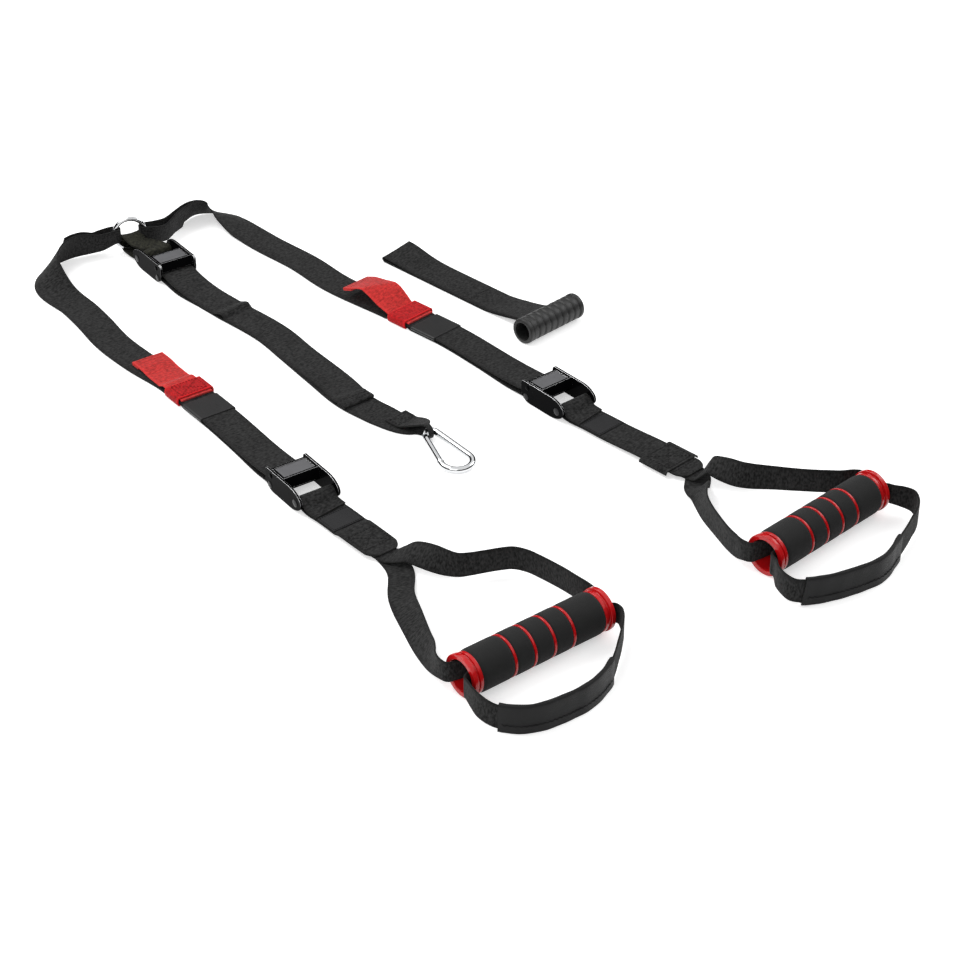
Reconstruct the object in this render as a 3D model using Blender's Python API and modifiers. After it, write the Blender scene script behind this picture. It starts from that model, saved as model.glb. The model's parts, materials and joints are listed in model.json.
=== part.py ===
"""Suspension trainer with two arms, cam buckles, foam grips, foot loops and a door anchor.

The trainer lies on the floor: +X runs from the anchor ring to the handles, +Y to the
right arm, +Z up. Lengths are metres, angles degrees unless a name says otherwise.
"""
import math

import bmesh
import bpy
import numpy as np
from mathutils import Matrix, Vector

# Webbing
WEBBING_WIDTH = 0.038
WEBBING_THICK = 0.0018
NARROW_WIDTH = 0.025
GAP = 0.0003
STITCH_GAP = 0.0006
ROW_PITCH = 0.0125
OVERRUN = 0.002

# Anchor ring, which stands on its edge
RING_RADIUS = 0.0175
RING_WIRE = 0.0025
RING_LIFT = 0.0022
RING_YAW = 66.0
RING_BUNCH = 0.016
ANCHOR_BUNCH = 0.014
ANCHOR_LOOP_YAW = -12.0
ARM_LAP = 0.062
ARM_LAP_LENGTH = 0.018
ARM_LAP_SAG = 0.007
RING_SLACK = 0.0022

# Cam buckle, along u from the strap end to the bar end
BUCKLE_LENGTH = 0.064
BUCKLE_HEIGHT = 0.023
CHEEK_THICK = 0.0024
CHEEK_CLEARANCE = 0.0008
LIP_BAR_RADIUS = 0.0026
WEBBING_BAR_RADIUS = 0.003
CAM_PIN_RADIUS = 0.0016
PLATE_THICK = 0.002
PLATE_HEIGHT = 0.0022
RIVET_HEAD_THICK = 0.0007
RIVET_HEAD_REACH = 0.001
LEVER_CLEARANCE = 0.0004
CAM_RADIUS = 0.00575
PANEL_RECESS = 0.0007
SPRING_WIRE = 0.0004
SPRING_TURNS = 4

# Places of the three buckles on the floor
LEFT_REACH = 0.490
LEFT_SPREAD = 0.1435
LEFT_BUCKLE_YAW = -5.0
RIGHT_REACH = 0.523
RIGHT_SPREAD = 0.148
RIGHT_BUCKLE_YAW = 0.0
ANCHOR_BAR_REACH = 0.038
ANCHOR_BAR_SIDE = 0.0074
ANCHOR_BUCKLE_YAW = 175.0

# Tail ends with their pull tabs
TAB_THICK = 0.0018
KEEPER_THICK = 0.0016
KEEPER_SIDE_PLAY = 0.0006
KEEPER_LENGTH = 0.026
WRAP_THICK = 0.0008
WRAP_LENGTH = 0.035
TAB_LENGTH = 0.100
RIGHT_TAB_HUMP = 0.024
HEM_LENGTH = 0.012

# Snap hook
HOOK_WIRE = 0.0035
HOOK_SMALL_RADIUS = 0.007
HOOK_LARGE_RADIUS = 0.0155
HOOK_SPAN = 0.0495
HOOK_REACH = 0.520
HOOK_SIDE = 0.008
HOOK_YAW = -10.0
HOOK_TONGUE = 0.0022
HOOK_PIN_RADIUS = 0.001
HOOK_SPRING_WIRE = 0.00035
HOOK_SPRING_TURNS = 6
EYE_WIDTH = 0.005
EYE_RADIUS = 0.0062
EYE_FLAP = 0.050

# Grips and foot loops
GRIP_LENGTH = 0.156
GRIP_RADIUS = 0.0205
GRIP_BORE = 0.0155
FOAM_RADIUS = 0.020
FOAM_SEAT = 0.0165
FLANGE_THICK = 0.0045
GROOVE_WIDTH = 0.0025
GROOVE_DEPTH = 0.0028
RIDGE_WIDTH = 0.0035
RIDGE_DROP = 0.001
RIB_WIDTH = 0.0025
BORE_CHORD = 0.010
BORE_BAND_WIDTH = 0.021
RIM_BEND = 0.006
FOOT_DEPTH = 0.080
SLEEVE_WIDTH = 0.028
SLEEVE_THICK = 0.0012
LEFT_HANDLE_REACH = 0.367
LEFT_GRIP_REACH = LEFT_REACH + LEFT_HANDLE_REACH
LEFT_GRIP_SPREAD = 0.1505
LEFT_GRIP_YAW = -1.5
RIGHT_HANDLE_REACH = 0.3665
RIGHT_GRIP_REACH = RIGHT_REACH + RIGHT_HANDLE_REACH
RIGHT_GRIP_SPREAD = 0.1715
RIGHT_GRIP_YAW = 4.0
LABEL_THICK = 0.0007
LABEL_LENGTH = 0.030
PATCH_THICK = 0.001
PATCH_WIDTH = 0.046
PATCH_LENGTH = 0.060
TETHER_HEM = 0.024
LEFT_TETHER_LENGTH = 0.111
RIGHT_TETHER_LENGTH = 0.163
SEWN_LENGTH = 0.043

# Door anchor
DOOR_REACH = 0.4355
DOOR_SPREAD = 0.2405
DOOR_YAW = 5.0
DOOR_STRAP_WIDTH = 0.040
DOOR_STRAP_LENGTH = 0.235
DOOR_TUBE_LENGTH = 0.081
DOOR_TUBE_RADIUS = 0.014
DOOR_TUBE_BORE = 0.010
DOOR_TUBE_RIBS = 8
DOOR_DOWEL_RADIUS = 0.004
DOOR_DOWEL_LENGTH = 0.060
DOOR_SLOT_HEIGHT = 0.011

# Routes on the floor. A row is x and y as shares of the reach and the spread, the tilt
# of the webbing in degrees, its lift as a share of its width, and its width share.
LEFT_ARM_SHARES = (
    (-0.020, 0.250, 80.0, 0.15, 0.62),
    (-0.037, 0.418, 70.0, 0.05, 0.90),
    (-0.029, 0.606, 60.0, 0.0, 1.0),
    (0.002, 0.752, 45.0, 0.0, 1.0),
    (0.043, 0.812, 24.0, 0.0, 1.0),
    (0.085, 0.822, 8.0, 0.0, 1.0),
    (0.141, 0.812, 0.0, 0.0, 1.0),
    (0.214, 0.836, 0.0, 0.0, 1.0),
    (0.337, 0.900, 0.0, 0.0, 1.0),
    (0.439, 0.906, 0.0, 0.0, 1.0),
)
LEFT_ARM_END_SHARES = (
    (0.731, 0.906, 0.0, 0.0, 1.0),
    (0.861, 0.948, 0.0, 0.0, 1.0),
)
RIGHT_ARM_SHARES = (
    (0.006, 0.304, 98.0, 0.15, 0.62),
    (-0.011, 0.480, 110.0, 0.05, 0.90),
    (-0.021, 0.610, 122.0, 0.0, 1.0),
    (-0.021, 0.715, 138.0, 0.0, 1.0),
    (0.004, 0.800, 154.0, 0.0, 1.0),
    (0.044, 0.832, 168.0, 0.0, 1.0),
    (0.090, 0.838, 178.0, 0.0, 1.0),
    (0.164, 0.845, 180.0, 0.0, 1.0),
    (0.291, 0.878, 180.0, 0.0, 1.0),
    (0.392, 0.868, 180.0, 0.0, 1.0),
)
RIGHT_ARM_END_SHARES = (
    (0.723, 1.007, 180.0, 0.0, 1.0),
    (0.850, 1.012, 180.0, 0.0, 1.0),
)
KEEPER_PLACE_SHARE = 0.616
LEFT_KEEPER_SIDE_SHARE = 0.884
RIGHT_KEEPER_SIDE_SHARE = 0.966

# Anchor strap, x as a share of the hook's reach and y of the hook's side step
ANCHOR_STRAP_SHARES = (
    (0.300, 0.35, 0.0, 0.0, 1.0),
    (0.345, 0.5, 0.0, 0.0, 1.0),
    (0.373, 0.6, 0.0, 0.0, 1.0),
    (0.388, 0.7, 0.0, 0.0, 1.0),
    (0.500, 1.1, 0.0, 0.0, 1.0),
    (0.590, 0.5, 0.0, 0.0, 1.0),
    (0.700, -0.3, 0.0, 0.0, 1.0),
    (0.800, -0.9, 0.0, 0.0, 1.0),
    (0.877, -0.4, 0.0, 0.0, 0.95),
    (0.940, 0.4, 0.0, 0.0, 0.55),
)
ANCHOR_CREASE_HEIGHT = 0.0045

# Legs and foot loops in their grip's frame: x as a share of the reach from the split to
# the grip or of the foot loop's depth, y as a share of half the grip, the rise from the
# floor to the grip's axis as a share, and the tilt.
LEFT_NEAR_LEG_SHARES = (
    (-0.24, -0.955, 0.45, 62.0),
    (-0.49, -0.690, 0.15, 38.0),
    (-0.70, -0.430, 0.0, 14.0),
    (-0.88, -0.110, 0.0, 3.0),
)
LEFT_FAR_LEG_SHARES = (
    (-0.14, 1.060, 1.00, 90.0),
    (-0.34, 1.030, 0.80, 90.0),
    (-0.54, 0.880, 0.70, 90.0),
    (-0.60, 0.560, 0.70, 90.0),
    (-0.655, 0.300, 0.60, 84.0),
    (-0.76, 0.170, 0.62, 54.0),
    (-0.88, 0.085, 0.55, 22.0),
)
RIGHT_NEAR_LEG_SHARES = (
    (-0.215, -1.040, 0.70, 90.0),
    (-0.43, -0.874, 0.60, 88.0),
    (-0.63, -0.667, 0.50, 78.0),
    (-0.80, -0.370, 0.20, 46.0),
    (-0.90, -0.200, 0.0, 3.0),
)
RIGHT_FAR_LEG_SHARES = (
    (-0.187, 0.880, 1.00, 90.0),
    (-0.348, 0.632, 0.80, 90.0),
    (-0.524, 0.386, 0.70, 84.0),
    (-0.706, 0.160, 0.62, 62.0),
    (-0.89, 0.050, 0.90, 16.0),
)
LEFT_FOOT_SHARES = (
    (0.48, -1.120, 0.50, 90.0),
    (0.69, -1.040, 0.0, 90.0),
    (0.91, -0.810, 0.0, 90.0),
    (1.00, -0.430, 0.0, 90.0),
    (0.99, 0.020, 0.0, 90.0),
    (0.83, 0.420, 0.0, 90.0),
    (0.64, 0.680, 0.15, 90.0),
    (0.48, 0.880, 0.50, 90.0),
    (0.33, 1.030, 0.80, 90.0),
)
RIGHT_FOOT_SHARES = (
    (0.36, -1.200, 0.90, 90.0),
    (0.60, -1.240, 0.55, 90.0),
    (0.76, -1.010, 0.10, 90.0),
    (0.92, -0.600, 0.0, 90.0),
    (1.01, -0.110, 0.0, 90.0),
    (0.88, 0.360, 0.0, 90.0),
    (0.74, 0.780, 0.15, 90.0),
    (0.60, 1.090, 0.40, 90.0),
    (0.44, 1.190, 0.65, 90.0),
)
SLEEVE_DEPTH_SHARE = 0.60
SLEEVE_SIDE_SHARE = 0.46
SLEEVE_ROUTE_SHARE = 0.80
FOAM_LENGTH_SHARES = (0.272, 0.152, 0.152, 0.152, 0.272)

# Door anchor strap, x as a share of the strap, height of each layer as a share of the
# tube's radius
DOOR_STRAP_SHARES = (
    (0.11, 0.60),
    (0.22, 0.25),
    (0.34, 0.0),
    (0.60, 0.0),
    (0.80, 0.0),
)

FLAT = WEBBING_THICK / 2
RING_CENTRE = Vector((0.0, 0.0, RING_LIFT + RING_RADIUS + RING_WIRE))
RING_SIDE = Vector((math.cos(math.radians(RING_YAW)), math.sin(math.radians(RING_YAW)), 0.0))
RING_FRONT = Vector((RING_SIDE.y, -RING_SIDE.x, 0.0))
INNER_WIDTH = WEBBING_WIDTH + 2 * CHEEK_CLEARANCE
LEVER_WIDTH = INNER_WIDTH - 2 * LEVER_CLEARANCE
LIP_TURN = LIP_BAR_RADIUS + GAP + FLAT
BAR_TURN = WEBBING_BAR_RADIUS + STITCH_GAP + FLAT
LIP_BAR_AT = (BUCKLE_LENGTH / 8, PLATE_HEIGHT + 0.174 * BUCKLE_HEIGHT)
WEBBING_BAR_AT = (BUCKLE_LENGTH * 0.844, BUCKLE_HEIGHT * 0.435)
CAM_PIN_AT = (BUCKLE_LENGTH * 0.156, LIP_BAR_AT[1] + LIP_TURN + FLAT + GAP + CAM_RADIUS)
TAIL_HEIGHT = WEBBING_THICK + 2 * GAP + WRAP_THICK + GAP + FLAT
AXIS_HEIGHT = GRIP_RADIUS

COLLECTION_NAME = "suspension_trainer"
CUTTER_COLLECTION = "cutters"

FRAMES = {"root": Matrix.Identity(4)}
EMPTIES = {}


def clear_scene():
    """Remove the objects that a new file starts with."""
    for item in list(bpy.data.objects):
        bpy.data.objects.remove(item, do_unlink=True)


def new_collection(name):
    made = bpy.data.collections.new(name)
    bpy.context.scene.collection.children.link(made)
    return made


def new_material(name, color, roughness, metallic=0.0):
    made = bpy.data.materials.new(name)
    made.use_nodes = True
    made.diffuse_color = (*color, 1.0)
    shader = made.node_tree.nodes["Principled BSDF"]
    shader.inputs["Base Color"].default_value = (*color, 1.0)
    shader.inputs["Roughness"].default_value = roughness
    shader.inputs["Metallic"].default_value = metallic
    return made


def spot(x, y, z=0.0, yaw=0.0):
    """A frame at a place on the floor, turned about +Z."""
    return Matrix.Translation((x, y, z)) @ Matrix.Rotation(math.radians(yaw), 4, "Z")


def add_frame(name, matrix, parent="root"):
    """An empty on a joint's axis that carries one moving body."""
    empty = bpy.data.objects.new(name, None)
    bpy.data.collections[COLLECTION_NAME].objects.link(empty)
    empty.empty_display_size = RING_RADIUS
    FRAMES[name] = matrix
    EMPTIES[name] = empty
    if name != "root":
        empty.parent = EMPTIES[parent]
        empty.matrix_basis = FRAMES[parent].inverted() @ matrix


def carry(item, parent):
    """Parent an object whose mesh is already in the trainer's own frame."""
    item.parent = EMPTIES[parent]
    item.matrix_parent_inverse = FRAMES[parent].inverted()


def add_object(name, mesh, material, parent="root", matrix=None, smooth=False):
    item = bpy.data.objects.new(name, mesh)
    bpy.data.collections[COLLECTION_NAME].objects.link(item)
    if not mesh.materials:
        mesh.materials.append(material)
    if smooth:
        mesh.shade_smooth()
        mesh.set_sharp_from_angle(angle=math.radians(40))
    carry(item, parent)
    if matrix is not None:
        item.matrix_basis = matrix
    return item


def baked(item):
    """The evaluated mesh of an object, which is then removed."""
    bpy.context.view_layer.update()
    graph = bpy.context.evaluated_depsgraph_get()
    mesh = bpy.data.meshes.new_from_object(item.evaluated_get(graph), depsgraph=graph)
    shell = bmesh.new()
    shell.from_mesh(mesh)
    bmesh.ops.remove_doubles(shell, verts=shell.verts, dist=1e-6)
    shell.to_mesh(mesh)
    shell.free()
    bpy.data.objects.remove(item, do_unlink=True)
    return mesh


def loose(name, data):
    """A working object at the origin, outside the trainer."""
    item = bpy.data.objects.new(name, data)
    bpy.data.collections[CUTTER_COLLECTION].objects.link(item)
    item.hide_render = True
    item.display_type = "WIRE"
    return item


def combine(mesh, others, operation):
    """Cut or join meshes with exact Booleans."""
    body = loose("work_body", mesh)
    tools = []
    for number, other in enumerate(others):
        tool = loose(f"work_tool_{number}", other)
        change = body.modifiers.new(f"step_{number}", "BOOLEAN")
        change.operation = operation
        change.object = tool
        tools.append(tool)
    result = baked(body)
    for tool in tools:
        bpy.data.objects.remove(tool, do_unlink=True)
    return result


def box_mesh(low, high):
    """A box primitive between two corners."""
    shell = bmesh.new()
    bmesh.ops.create_cube(shell, size=1.0)
    size = Vector(high) - Vector(low)
    middle = (Vector(high) + Vector(low)) / 2
    bmesh.ops.transform(shell, matrix=Matrix.Translation(middle) @ Matrix.Diagonal((*size, 1.0)),
                        verts=shell.verts)
    mesh = bpy.data.meshes.new("box")
    shell.to_mesh(mesh)
    shell.free()
    return mesh


def moved(mesh, matrix):
    mesh.transform(matrix)
    return mesh


def turned_mesh(profile, steps, closed):
    """Turn a profile of (radius, height) pairs about Z: top to bottom on the outer side."""
    shell = bmesh.new()
    points = [shell.verts.new((radius, 0.0, height)) for radius, height in profile]
    for start, end in zip(points, points[1:] + points[:1] if closed else points[1:]):
        shell.edges.new((start, end))
    mesh = bpy.data.meshes.new("profile")
    shell.to_mesh(mesh)
    shell.free()
    item = loose("turned", mesh)
    screw = item.modifiers.new("turn", "SCREW")
    screw.steps = steps
    screw.render_steps = steps
    screw.use_merge_vertices = True
    screw.merge_threshold = 1e-6
    return baked(item)


def plate_mesh(outline, thickness, holes=(), hole_steps=10):
    """Fill a flat outline of (x, y) pairs with round holes and give it a thickness along Z."""
    curve = bpy.data.curves.new("plate", "CURVE")
    curve.dimensions = "2D"
    curve.fill_mode = "BOTH"
    curve.extrude = thickness / 2
    rings = [list(outline)]
    for x, y, radius in holes:
        angles = [math.tau * step / hole_steps for step in range(hole_steps)]
        rings.append([(x + radius * math.cos(a), y + radius * math.sin(a)) for a in angles])
    for ring in rings:
        spline = curve.splines.new("POLY")
        spline.points.add(len(ring) - 1)
        spline.use_cyclic_u = True
        for point, (x, y) in zip(spline.points, ring):
            point.co = (x, y, 0.0, 1.0)
    return baked(loose("plate", curve))


def rod_mesh(points, radius, sides_resolution=1, closed=False):
    """A round wire along points, with filled ends."""
    curve = bpy.data.curves.new("rod", "CURVE")
    curve.dimensions = "3D"
    curve.bevel_depth = radius
    curve.bevel_resolution = sides_resolution
    curve.use_fill_caps = True
    curve.twist_mode = "MINIMUM"
    spline = curve.splines.new("POLY")
    spline.points.add(len(points) - 1)
    spline.use_cyclic_u = closed
    for knot, place in zip(spline.points, points):
        knot.co = (*place, 1.0)
    return baked(loose("rod", curve))


def arc(x, y, radius, start, end, steps):
    """Points on an arc, angles in degrees."""
    angles = np.radians(np.linspace(start, end, steps + 1))
    return [(x + radius * math.cos(a), y + radius * math.sin(a)) for a in angles]


def rest_height(tilt, width):
    """Height of the middle of webbing that rests on the floor at a tilt."""
    slope = math.radians(tilt)
    return abs(math.sin(slope)) * width / 2 + abs(math.cos(slope)) * FLAT


def floor_rows(shares, reach, spread, width=WEBBING_WIDTH):
    """Rows x, y, z, tilt, width from a table of shares."""
    rows = []
    for along_share, side_share, tilt, lift_share, width_share in shares:
        wide = width * width_share
        height = rest_height(tilt, wide) + lift_share * width
        rows.append((along_share * reach, side_share * spread, height, tilt, wide))
    return rows


def refine(rows, pitch=ROW_PITCH):
    """Smooth rows: x and y bend freely, height, tilt and width never overshoot."""
    data = np.array(rows, dtype=float)
    steps = np.linalg.norm(np.diff(data[:, :3], axis=0), axis=1)
    data = data[np.concatenate(([True], steps > GAP / 30))]
    steps = np.linalg.norm(np.diff(data[:, :3], axis=0), axis=1)
    secants = np.diff(data, axis=0) / steps[:, None]
    slopes = np.zeros_like(data)
    slopes[0], slopes[-1] = secants[0], secants[-1]
    before, after = secants[:-1], secants[1:]
    weight = (steps[1:] / (steps[1:] + steps[:-1]))[:, None]
    free = before * weight + after * (1 - weight)
    steady = before * after > 0
    product = np.where(steady, 2 * before * after, 0.0)
    total = np.where(steady, before + after, 1.0)
    slopes[1:-1, :2] = free[:, :2]
    slopes[1:-1, 2:] = (product / total)[:, 2:]
    fine = [data[0]]
    for index, step in enumerate(steps):
        count = max(1, round(step / pitch))
        for part in range(1, count + 1):
            t = part / count
            fine.append((2 * t**3 - 3 * t**2 + 1) * data[index]
                        + (t**3 - 2 * t**2 + t) * step * slopes[index]
                        + (3 * t**2 - 2 * t**3) * data[index + 1]
                        + (t**3 - t**2) * step * slopes[index + 1])
    return np.array(fine)


def cross_sections(rows, closed=False):
    """Middle, crosswise direction and upward direction of the webbing at each row."""
    places = [Vector(row[:3]) for row in rows]
    last = len(places) - 1
    sections = []
    side = None
    for index, place in enumerate(places):
        ahead = places[index + 1] if index < last else (places[1] if closed else place)
        behind = places[index - 1] if index else (places[last - 1] if closed else place)
        along = (ahead - behind).normalized()
        level = Vector((-along.y, along.x, 0.0))
        if side is None or level.length > 0.25:
            level.normalize()
            side = -level if side is not None and level.dot(side) < 0 else level
        upward = along.cross(side).normalized()
        if upward.z < 0:
            upward = -upward
        tilt = math.radians(rows[index][3])
        across = (side * math.cos(tilt) + upward * math.sin(tilt)).normalized()
        sections.append((place, across, along.cross(across).normalized()))
    return sections


def band_mesh(rows, thick, closed=False, profile=None, pitch=ROW_PITCH):
    """Webbing along rows: a grid bent along its route, then given its thickness."""
    fine = refine(list(rows) + ([rows[0]] if closed else []), pitch)
    sections = cross_sections(fine, closed)
    profile = profile or (lambda width: ((-width / 2, 0.0), (width / 2, 0.0)))
    columns = len(profile(WEBBING_WIDTH)) - 1
    shell = bmesh.new()
    bmesh.ops.create_grid(shell, x_segments=len(fine) - 1, y_segments=columns, size=1.0)
    for vert in shell.verts:
        row = round((vert.co.x + 1) / 2 * (len(fine) - 1))
        column = round((vert.co.y + 1) / 2 * columns)
        place, across, normal = sections[row]
        aside, out = profile(fine[row][4])[column]
        vert.co = place + across * aside + normal * out
    if closed:
        bmesh.ops.remove_doubles(shell, verts=shell.verts, dist=1e-5)
    mesh = bpy.data.meshes.new("band")
    shell.to_mesh(mesh)
    shell.free()
    item = loose("band", mesh)
    wall = item.modifiers.new("thickness", "SOLIDIFY")
    wall.thickness = thick
    wall.offset = 0.0
    wall.use_even_offset = True
    return baked(item)


def lapped(rows, distance, offset, lift=0.0):
    """A row beside a route, at a distance along it, for webbing that lies against it."""
    fine = refine(rows, ROW_PITCH / 4)
    at = np.concatenate(([0.0], np.cumsum(np.linalg.norm(np.diff(fine[:, :3], axis=0), axis=1))))
    index = int(np.argmin(abs(at - distance)))
    place, _, normal = cross_sections(fine)[index]
    place = place + normal * offset + Vector((0.0, 0.0, lift))
    place.z = max(place.z, rest_height(fine[index][3], fine[index][4]))
    return (*place, 180.0 - fine[index][3], fine[index][4])


def local_rows(matrix, rows):
    """Rows given in a frame on the floor, moved to the trainer's frame."""
    return [(*(matrix @ Vector(row[:3])), row[3], row[4]) for row in rows]


def bar_turn(matrix, centre, radius, start, end, tilt, width, steps=6):
    """Rows round a bar that lies across a frame: angles in its length and height plane."""
    return local_rows(matrix, [(along, 0.0, up, tilt, width)
                               for along, up in arc(*centre, radius, start, end, steps)])


def oval(middle, reach, start, end, steps):
    """Points on a stretch of an oval, angles in degrees."""
    angles = np.radians(np.linspace(start, end, steps + 1))
    return [(middle[0] + reach[0] * math.cos(a), middle[1] + reach[1] * math.sin(a)) for a in angles]


UPRIGHT = Matrix.Rotation(math.radians(90), 4, "X")
ALONG_Y = Matrix.Rotation(math.radians(-90), 4, "X")


def cheek_mesh():
    """One D-shaped cheek with holes for the two bars and the cam pin."""
    long, high = BUCKLE_LENGTH, BUCKLE_HEIGHT
    outline = oval((long * 0.67, high / 2), (long * 0.33, high / 2), -90, 90, 12)
    outline += oval((long * 0.06, high * 0.84), (long * 0.06, high * 0.16), 90, 180, 3)
    outline += oval((long * 0.22, high * 0.48), (long * 0.22, high * 0.48), 180, 270, 5)
    holes = ((*LIP_BAR_AT, LIP_BAR_RADIUS + GAP),
             (*WEBBING_BAR_AT, WEBBING_BAR_RADIUS + GAP),
             (*CAM_PIN_AT, CAM_PIN_RADIUS + GAP))
    return plate_mesh(outline, CHEEK_THICK, holes)


def buckle_frame_mesh():
    """Two cheeks joined by the base plate."""
    side = (INNER_WIDTH + CHEEK_THICK) / 2
    near = moved(cheek_mesh(), Matrix.Translation((0, -side, 0)) @ UPRIGHT)
    far = moved(cheek_mesh(), Matrix.Translation((0, side, 0)) @ UPRIGHT)
    plate = box_mesh((BUCKLE_LENGTH / 4, -side, PLATE_HEIGHT),
                     (BUCKLE_LENGTH * 0.53, side, PLATE_HEIGHT + PLATE_THICK))
    return combine(plate, (near, far), "UNION")


def cam_profile():
    """Side view of the cam lever: lip, panel, thumb tab, and the toothed cam."""
    pin_u, pin_w = CAM_PIN_AT
    top = BUCKLE_HEIGHT - LEVER_CLEARANCE
    reach = BUCKLE_LENGTH
    under = top - 0.11 * BUCKLE_HEIGHT
    lip = pin_w - 0.17 * BUCKLE_HEIGHT
    tab = pin_w - 0.22 * BUCKLE_HEIGHT
    edge = LEVER_CLEARANCE
    outline = [(reach * 0.04, lip), (reach * 0.09, top - 2 * edge), (reach * 0.1, top),
               (reach * 0.452, top), (reach * 0.464, top - 2 * edge), (reach * 0.49, tab),
               (reach * 0.46, tab), (reach * 0.437, under), (pin_u + 1.3 * CAM_RADIUS, under)]
    teeth = 12
    for step in range(teeth + 1):
        angle = -15 - 137 * step / teeth
        fall = max(0.0, (angle + 90) / 75) * 0.15 * CAM_RADIUS
        radius = CAM_RADIUS - fall - (step % 2) * 0.11 * CAM_RADIUS
        turn = math.radians(angle)
        outline.append((pin_u + radius * math.cos(turn), pin_w + radius * math.sin(turn)))
    outline.append((reach * 0.064, lip))
    return outline


def lever_mesh():
    """The cam lever with its recessed panel and the pocket for the spring."""
    pin_u, pin_w = CAM_PIN_AT
    top = BUCKLE_HEIGHT - LEVER_CLEARANCE
    body = plate_mesh(cam_profile(), LEVER_WIDTH, ((pin_u, pin_w, CAM_PIN_RADIUS + GAP),))
    moved(body, UPRIGHT)
    rim = 0.065 * LEVER_WIDTH
    recess = box_mesh((BUCKLE_LENGTH * 0.135, rim - LEVER_WIDTH / 2, top - PANEL_RECESS),
                      (BUCKLE_LENGTH * 0.42, LEVER_WIDTH / 2 - rim, top + OVERRUN))
    half = pocket_half()
    coil = spring_radius() + SPRING_WIRE / 2 + GAP
    pocket = box_mesh((pin_u - coil - GAP, -half, pin_w - CAM_RADIUS - OVERRUN),
                      (pin_u + 1.4 * CAM_RADIUS, half, top - 0.115 * BUCKLE_HEIGHT))
    return combine(body, (recess, pocket), "DIFFERENCE")


def spring_radius():
    """Mean radius of the torsion spring, clear of the cam pin."""
    return CAM_PIN_RADIUS + 2 * GAP + SPRING_WIRE / 2


def spring_pitch():
    return 2 * SPRING_WIRE + GAP / 6


def pocket_half():
    return spring_pitch() * SPRING_TURNS / 2 + SPRING_WIRE + GAP


def least_gap(points, wire, neighbours):
    """Least gap between the turns of a coil, measured between its points."""
    places = [Vector(point) for point in points]
    return min((a - b).length for i, a in enumerate(places)
               for b in places[i + neighbours:]) - wire


def torsion_spring_mesh():
    """Turns about the cam pin, one leg under the panel and one on the base plate."""
    pin_u, pin_w = CAM_PIN_AT
    radius = spring_radius()
    start, end = 90, 30 - 360 * SPRING_TURNS
    count = 8 * SPRING_TURNS + 2
    half = spring_pitch() * SPRING_TURNS / 2
    coil = []
    for step in range(count + 1):
        share = step / count
        turn = math.radians(start + (end - start) * share)
        coil.append((pin_u + radius * math.cos(turn), half * (1 - 2 * share),
                     pin_w + radius * math.sin(turn)))
    plate_top = PLATE_HEIGHT + PLATE_THICK + GAP + SPRING_WIRE / 2
    drop = coil[-1][2] - plate_top
    first = (pin_u - radius, half, pin_w + radius)
    last = (coil[-1][0] + drop * math.tan(math.radians(30)), -half, plate_top)
    print("least gap in a torsion spring, m:", round(least_gap(coil, SPRING_WIRE, 5), 6))
    return rod_mesh([first] + coil + [last], SPRING_WIRE / 2, 1)


def riveted_bar_mesh(radius, steps=10):
    """A bar across the cheeks with a riveted head on each side."""
    neck = INNER_WIDTH / 2 + CHEEK_THICK + GAP
    end = neck + RIVET_HEAD_THICK
    head = radius + RIVET_HEAD_REACH
    profile = ((0.0, end), (head, end), (head, neck), (radius, neck),
               (radius, -neck), (head, -neck), (head, -end), (0.0, -end))
    return moved(turned_mesh(profile, steps, False), UPRIGHT)


def add_buckle(side, parent, matrix, meshes, paints):
    """Six pieces of one buckle; its lever turns about the cam pin."""
    pin_u, pin_w = CAM_PIN_AT
    lever = f"{side}_lever_axis"
    add_frame(lever, matrix @ Matrix.Translation((pin_u, 0, pin_w)), parent)
    places = {"lip_bar": LIP_BAR_AT, "webbing_bar": WEBBING_BAR_AT, "cam_pin": CAM_PIN_AT}
    for piece, mesh in meshes.items():
        carrier = lever if piece == "lever" else parent
        shift = places.get(piece, (0, 0))
        add_object(f"{side}_buckle_{piece}", mesh, paints["steel" if "_bar" in piece else "black"],
                   carrier, matrix @ Matrix.Translation((shift[0], 0, shift[1])),
                   smooth=piece in places or piece == "spring")


def buckle_meshes():
    return {"frame": buckle_frame_mesh(), "lever": lever_mesh(),
            "spring": torsion_spring_mesh(),
            "cam_pin": riveted_bar_mesh(CAM_PIN_RADIUS),
            "lip_bar": riveted_bar_mesh(LIP_BAR_RADIUS),
            "webbing_bar": riveted_bar_mesh(WEBBING_BAR_RADIUS)}


def lip_rows(matrix, tilt):
    """The strap under the lip bar, round it and back over it, in a buckle's frame."""
    low = LIP_BAR_AT[1] - LIP_TURN
    before = local_rows(matrix, [(-0.4 * BUCKLE_LENGTH, 0, FLAT, tilt, WEBBING_WIDTH),
                                 (-0.1 * BUCKLE_LENGTH, 0, low * 0.8, tilt, WEBBING_WIDTH)])
    turn = bar_turn(matrix, LIP_BAR_AT, LIP_TURN, -90, 90, tilt, WEBBING_WIDTH)
    high = LIP_BAR_AT[1] + LIP_TURN
    after = local_rows(matrix, [(0.03 * BUCKLE_LENGTH, 0, high, tilt, WEBBING_WIDTH),
                                (-0.18 * BUCKLE_LENGTH, 0, high * 0.8, tilt, WEBBING_WIDTH)])
    return before + turn + after


def hem_rows(matrix, x, top, tilt, forward, width=WEBBING_WIDTH, thick=WEBBING_THICK):
    """A folded hem at the end of a strap: down round the fold and back underneath."""
    radius = (thick + GAP) / 2
    ends = (90, 270) if forward < 0 else (90, -90)
    fold = bar_turn(matrix, (x - forward * radius, top - radius), radius, *ends, tilt, width, 3)
    back = local_rows(matrix, [(x - forward * HEM_LENGTH, 0, top - 2 * radius, tilt, width)])
    return fold + back


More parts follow.
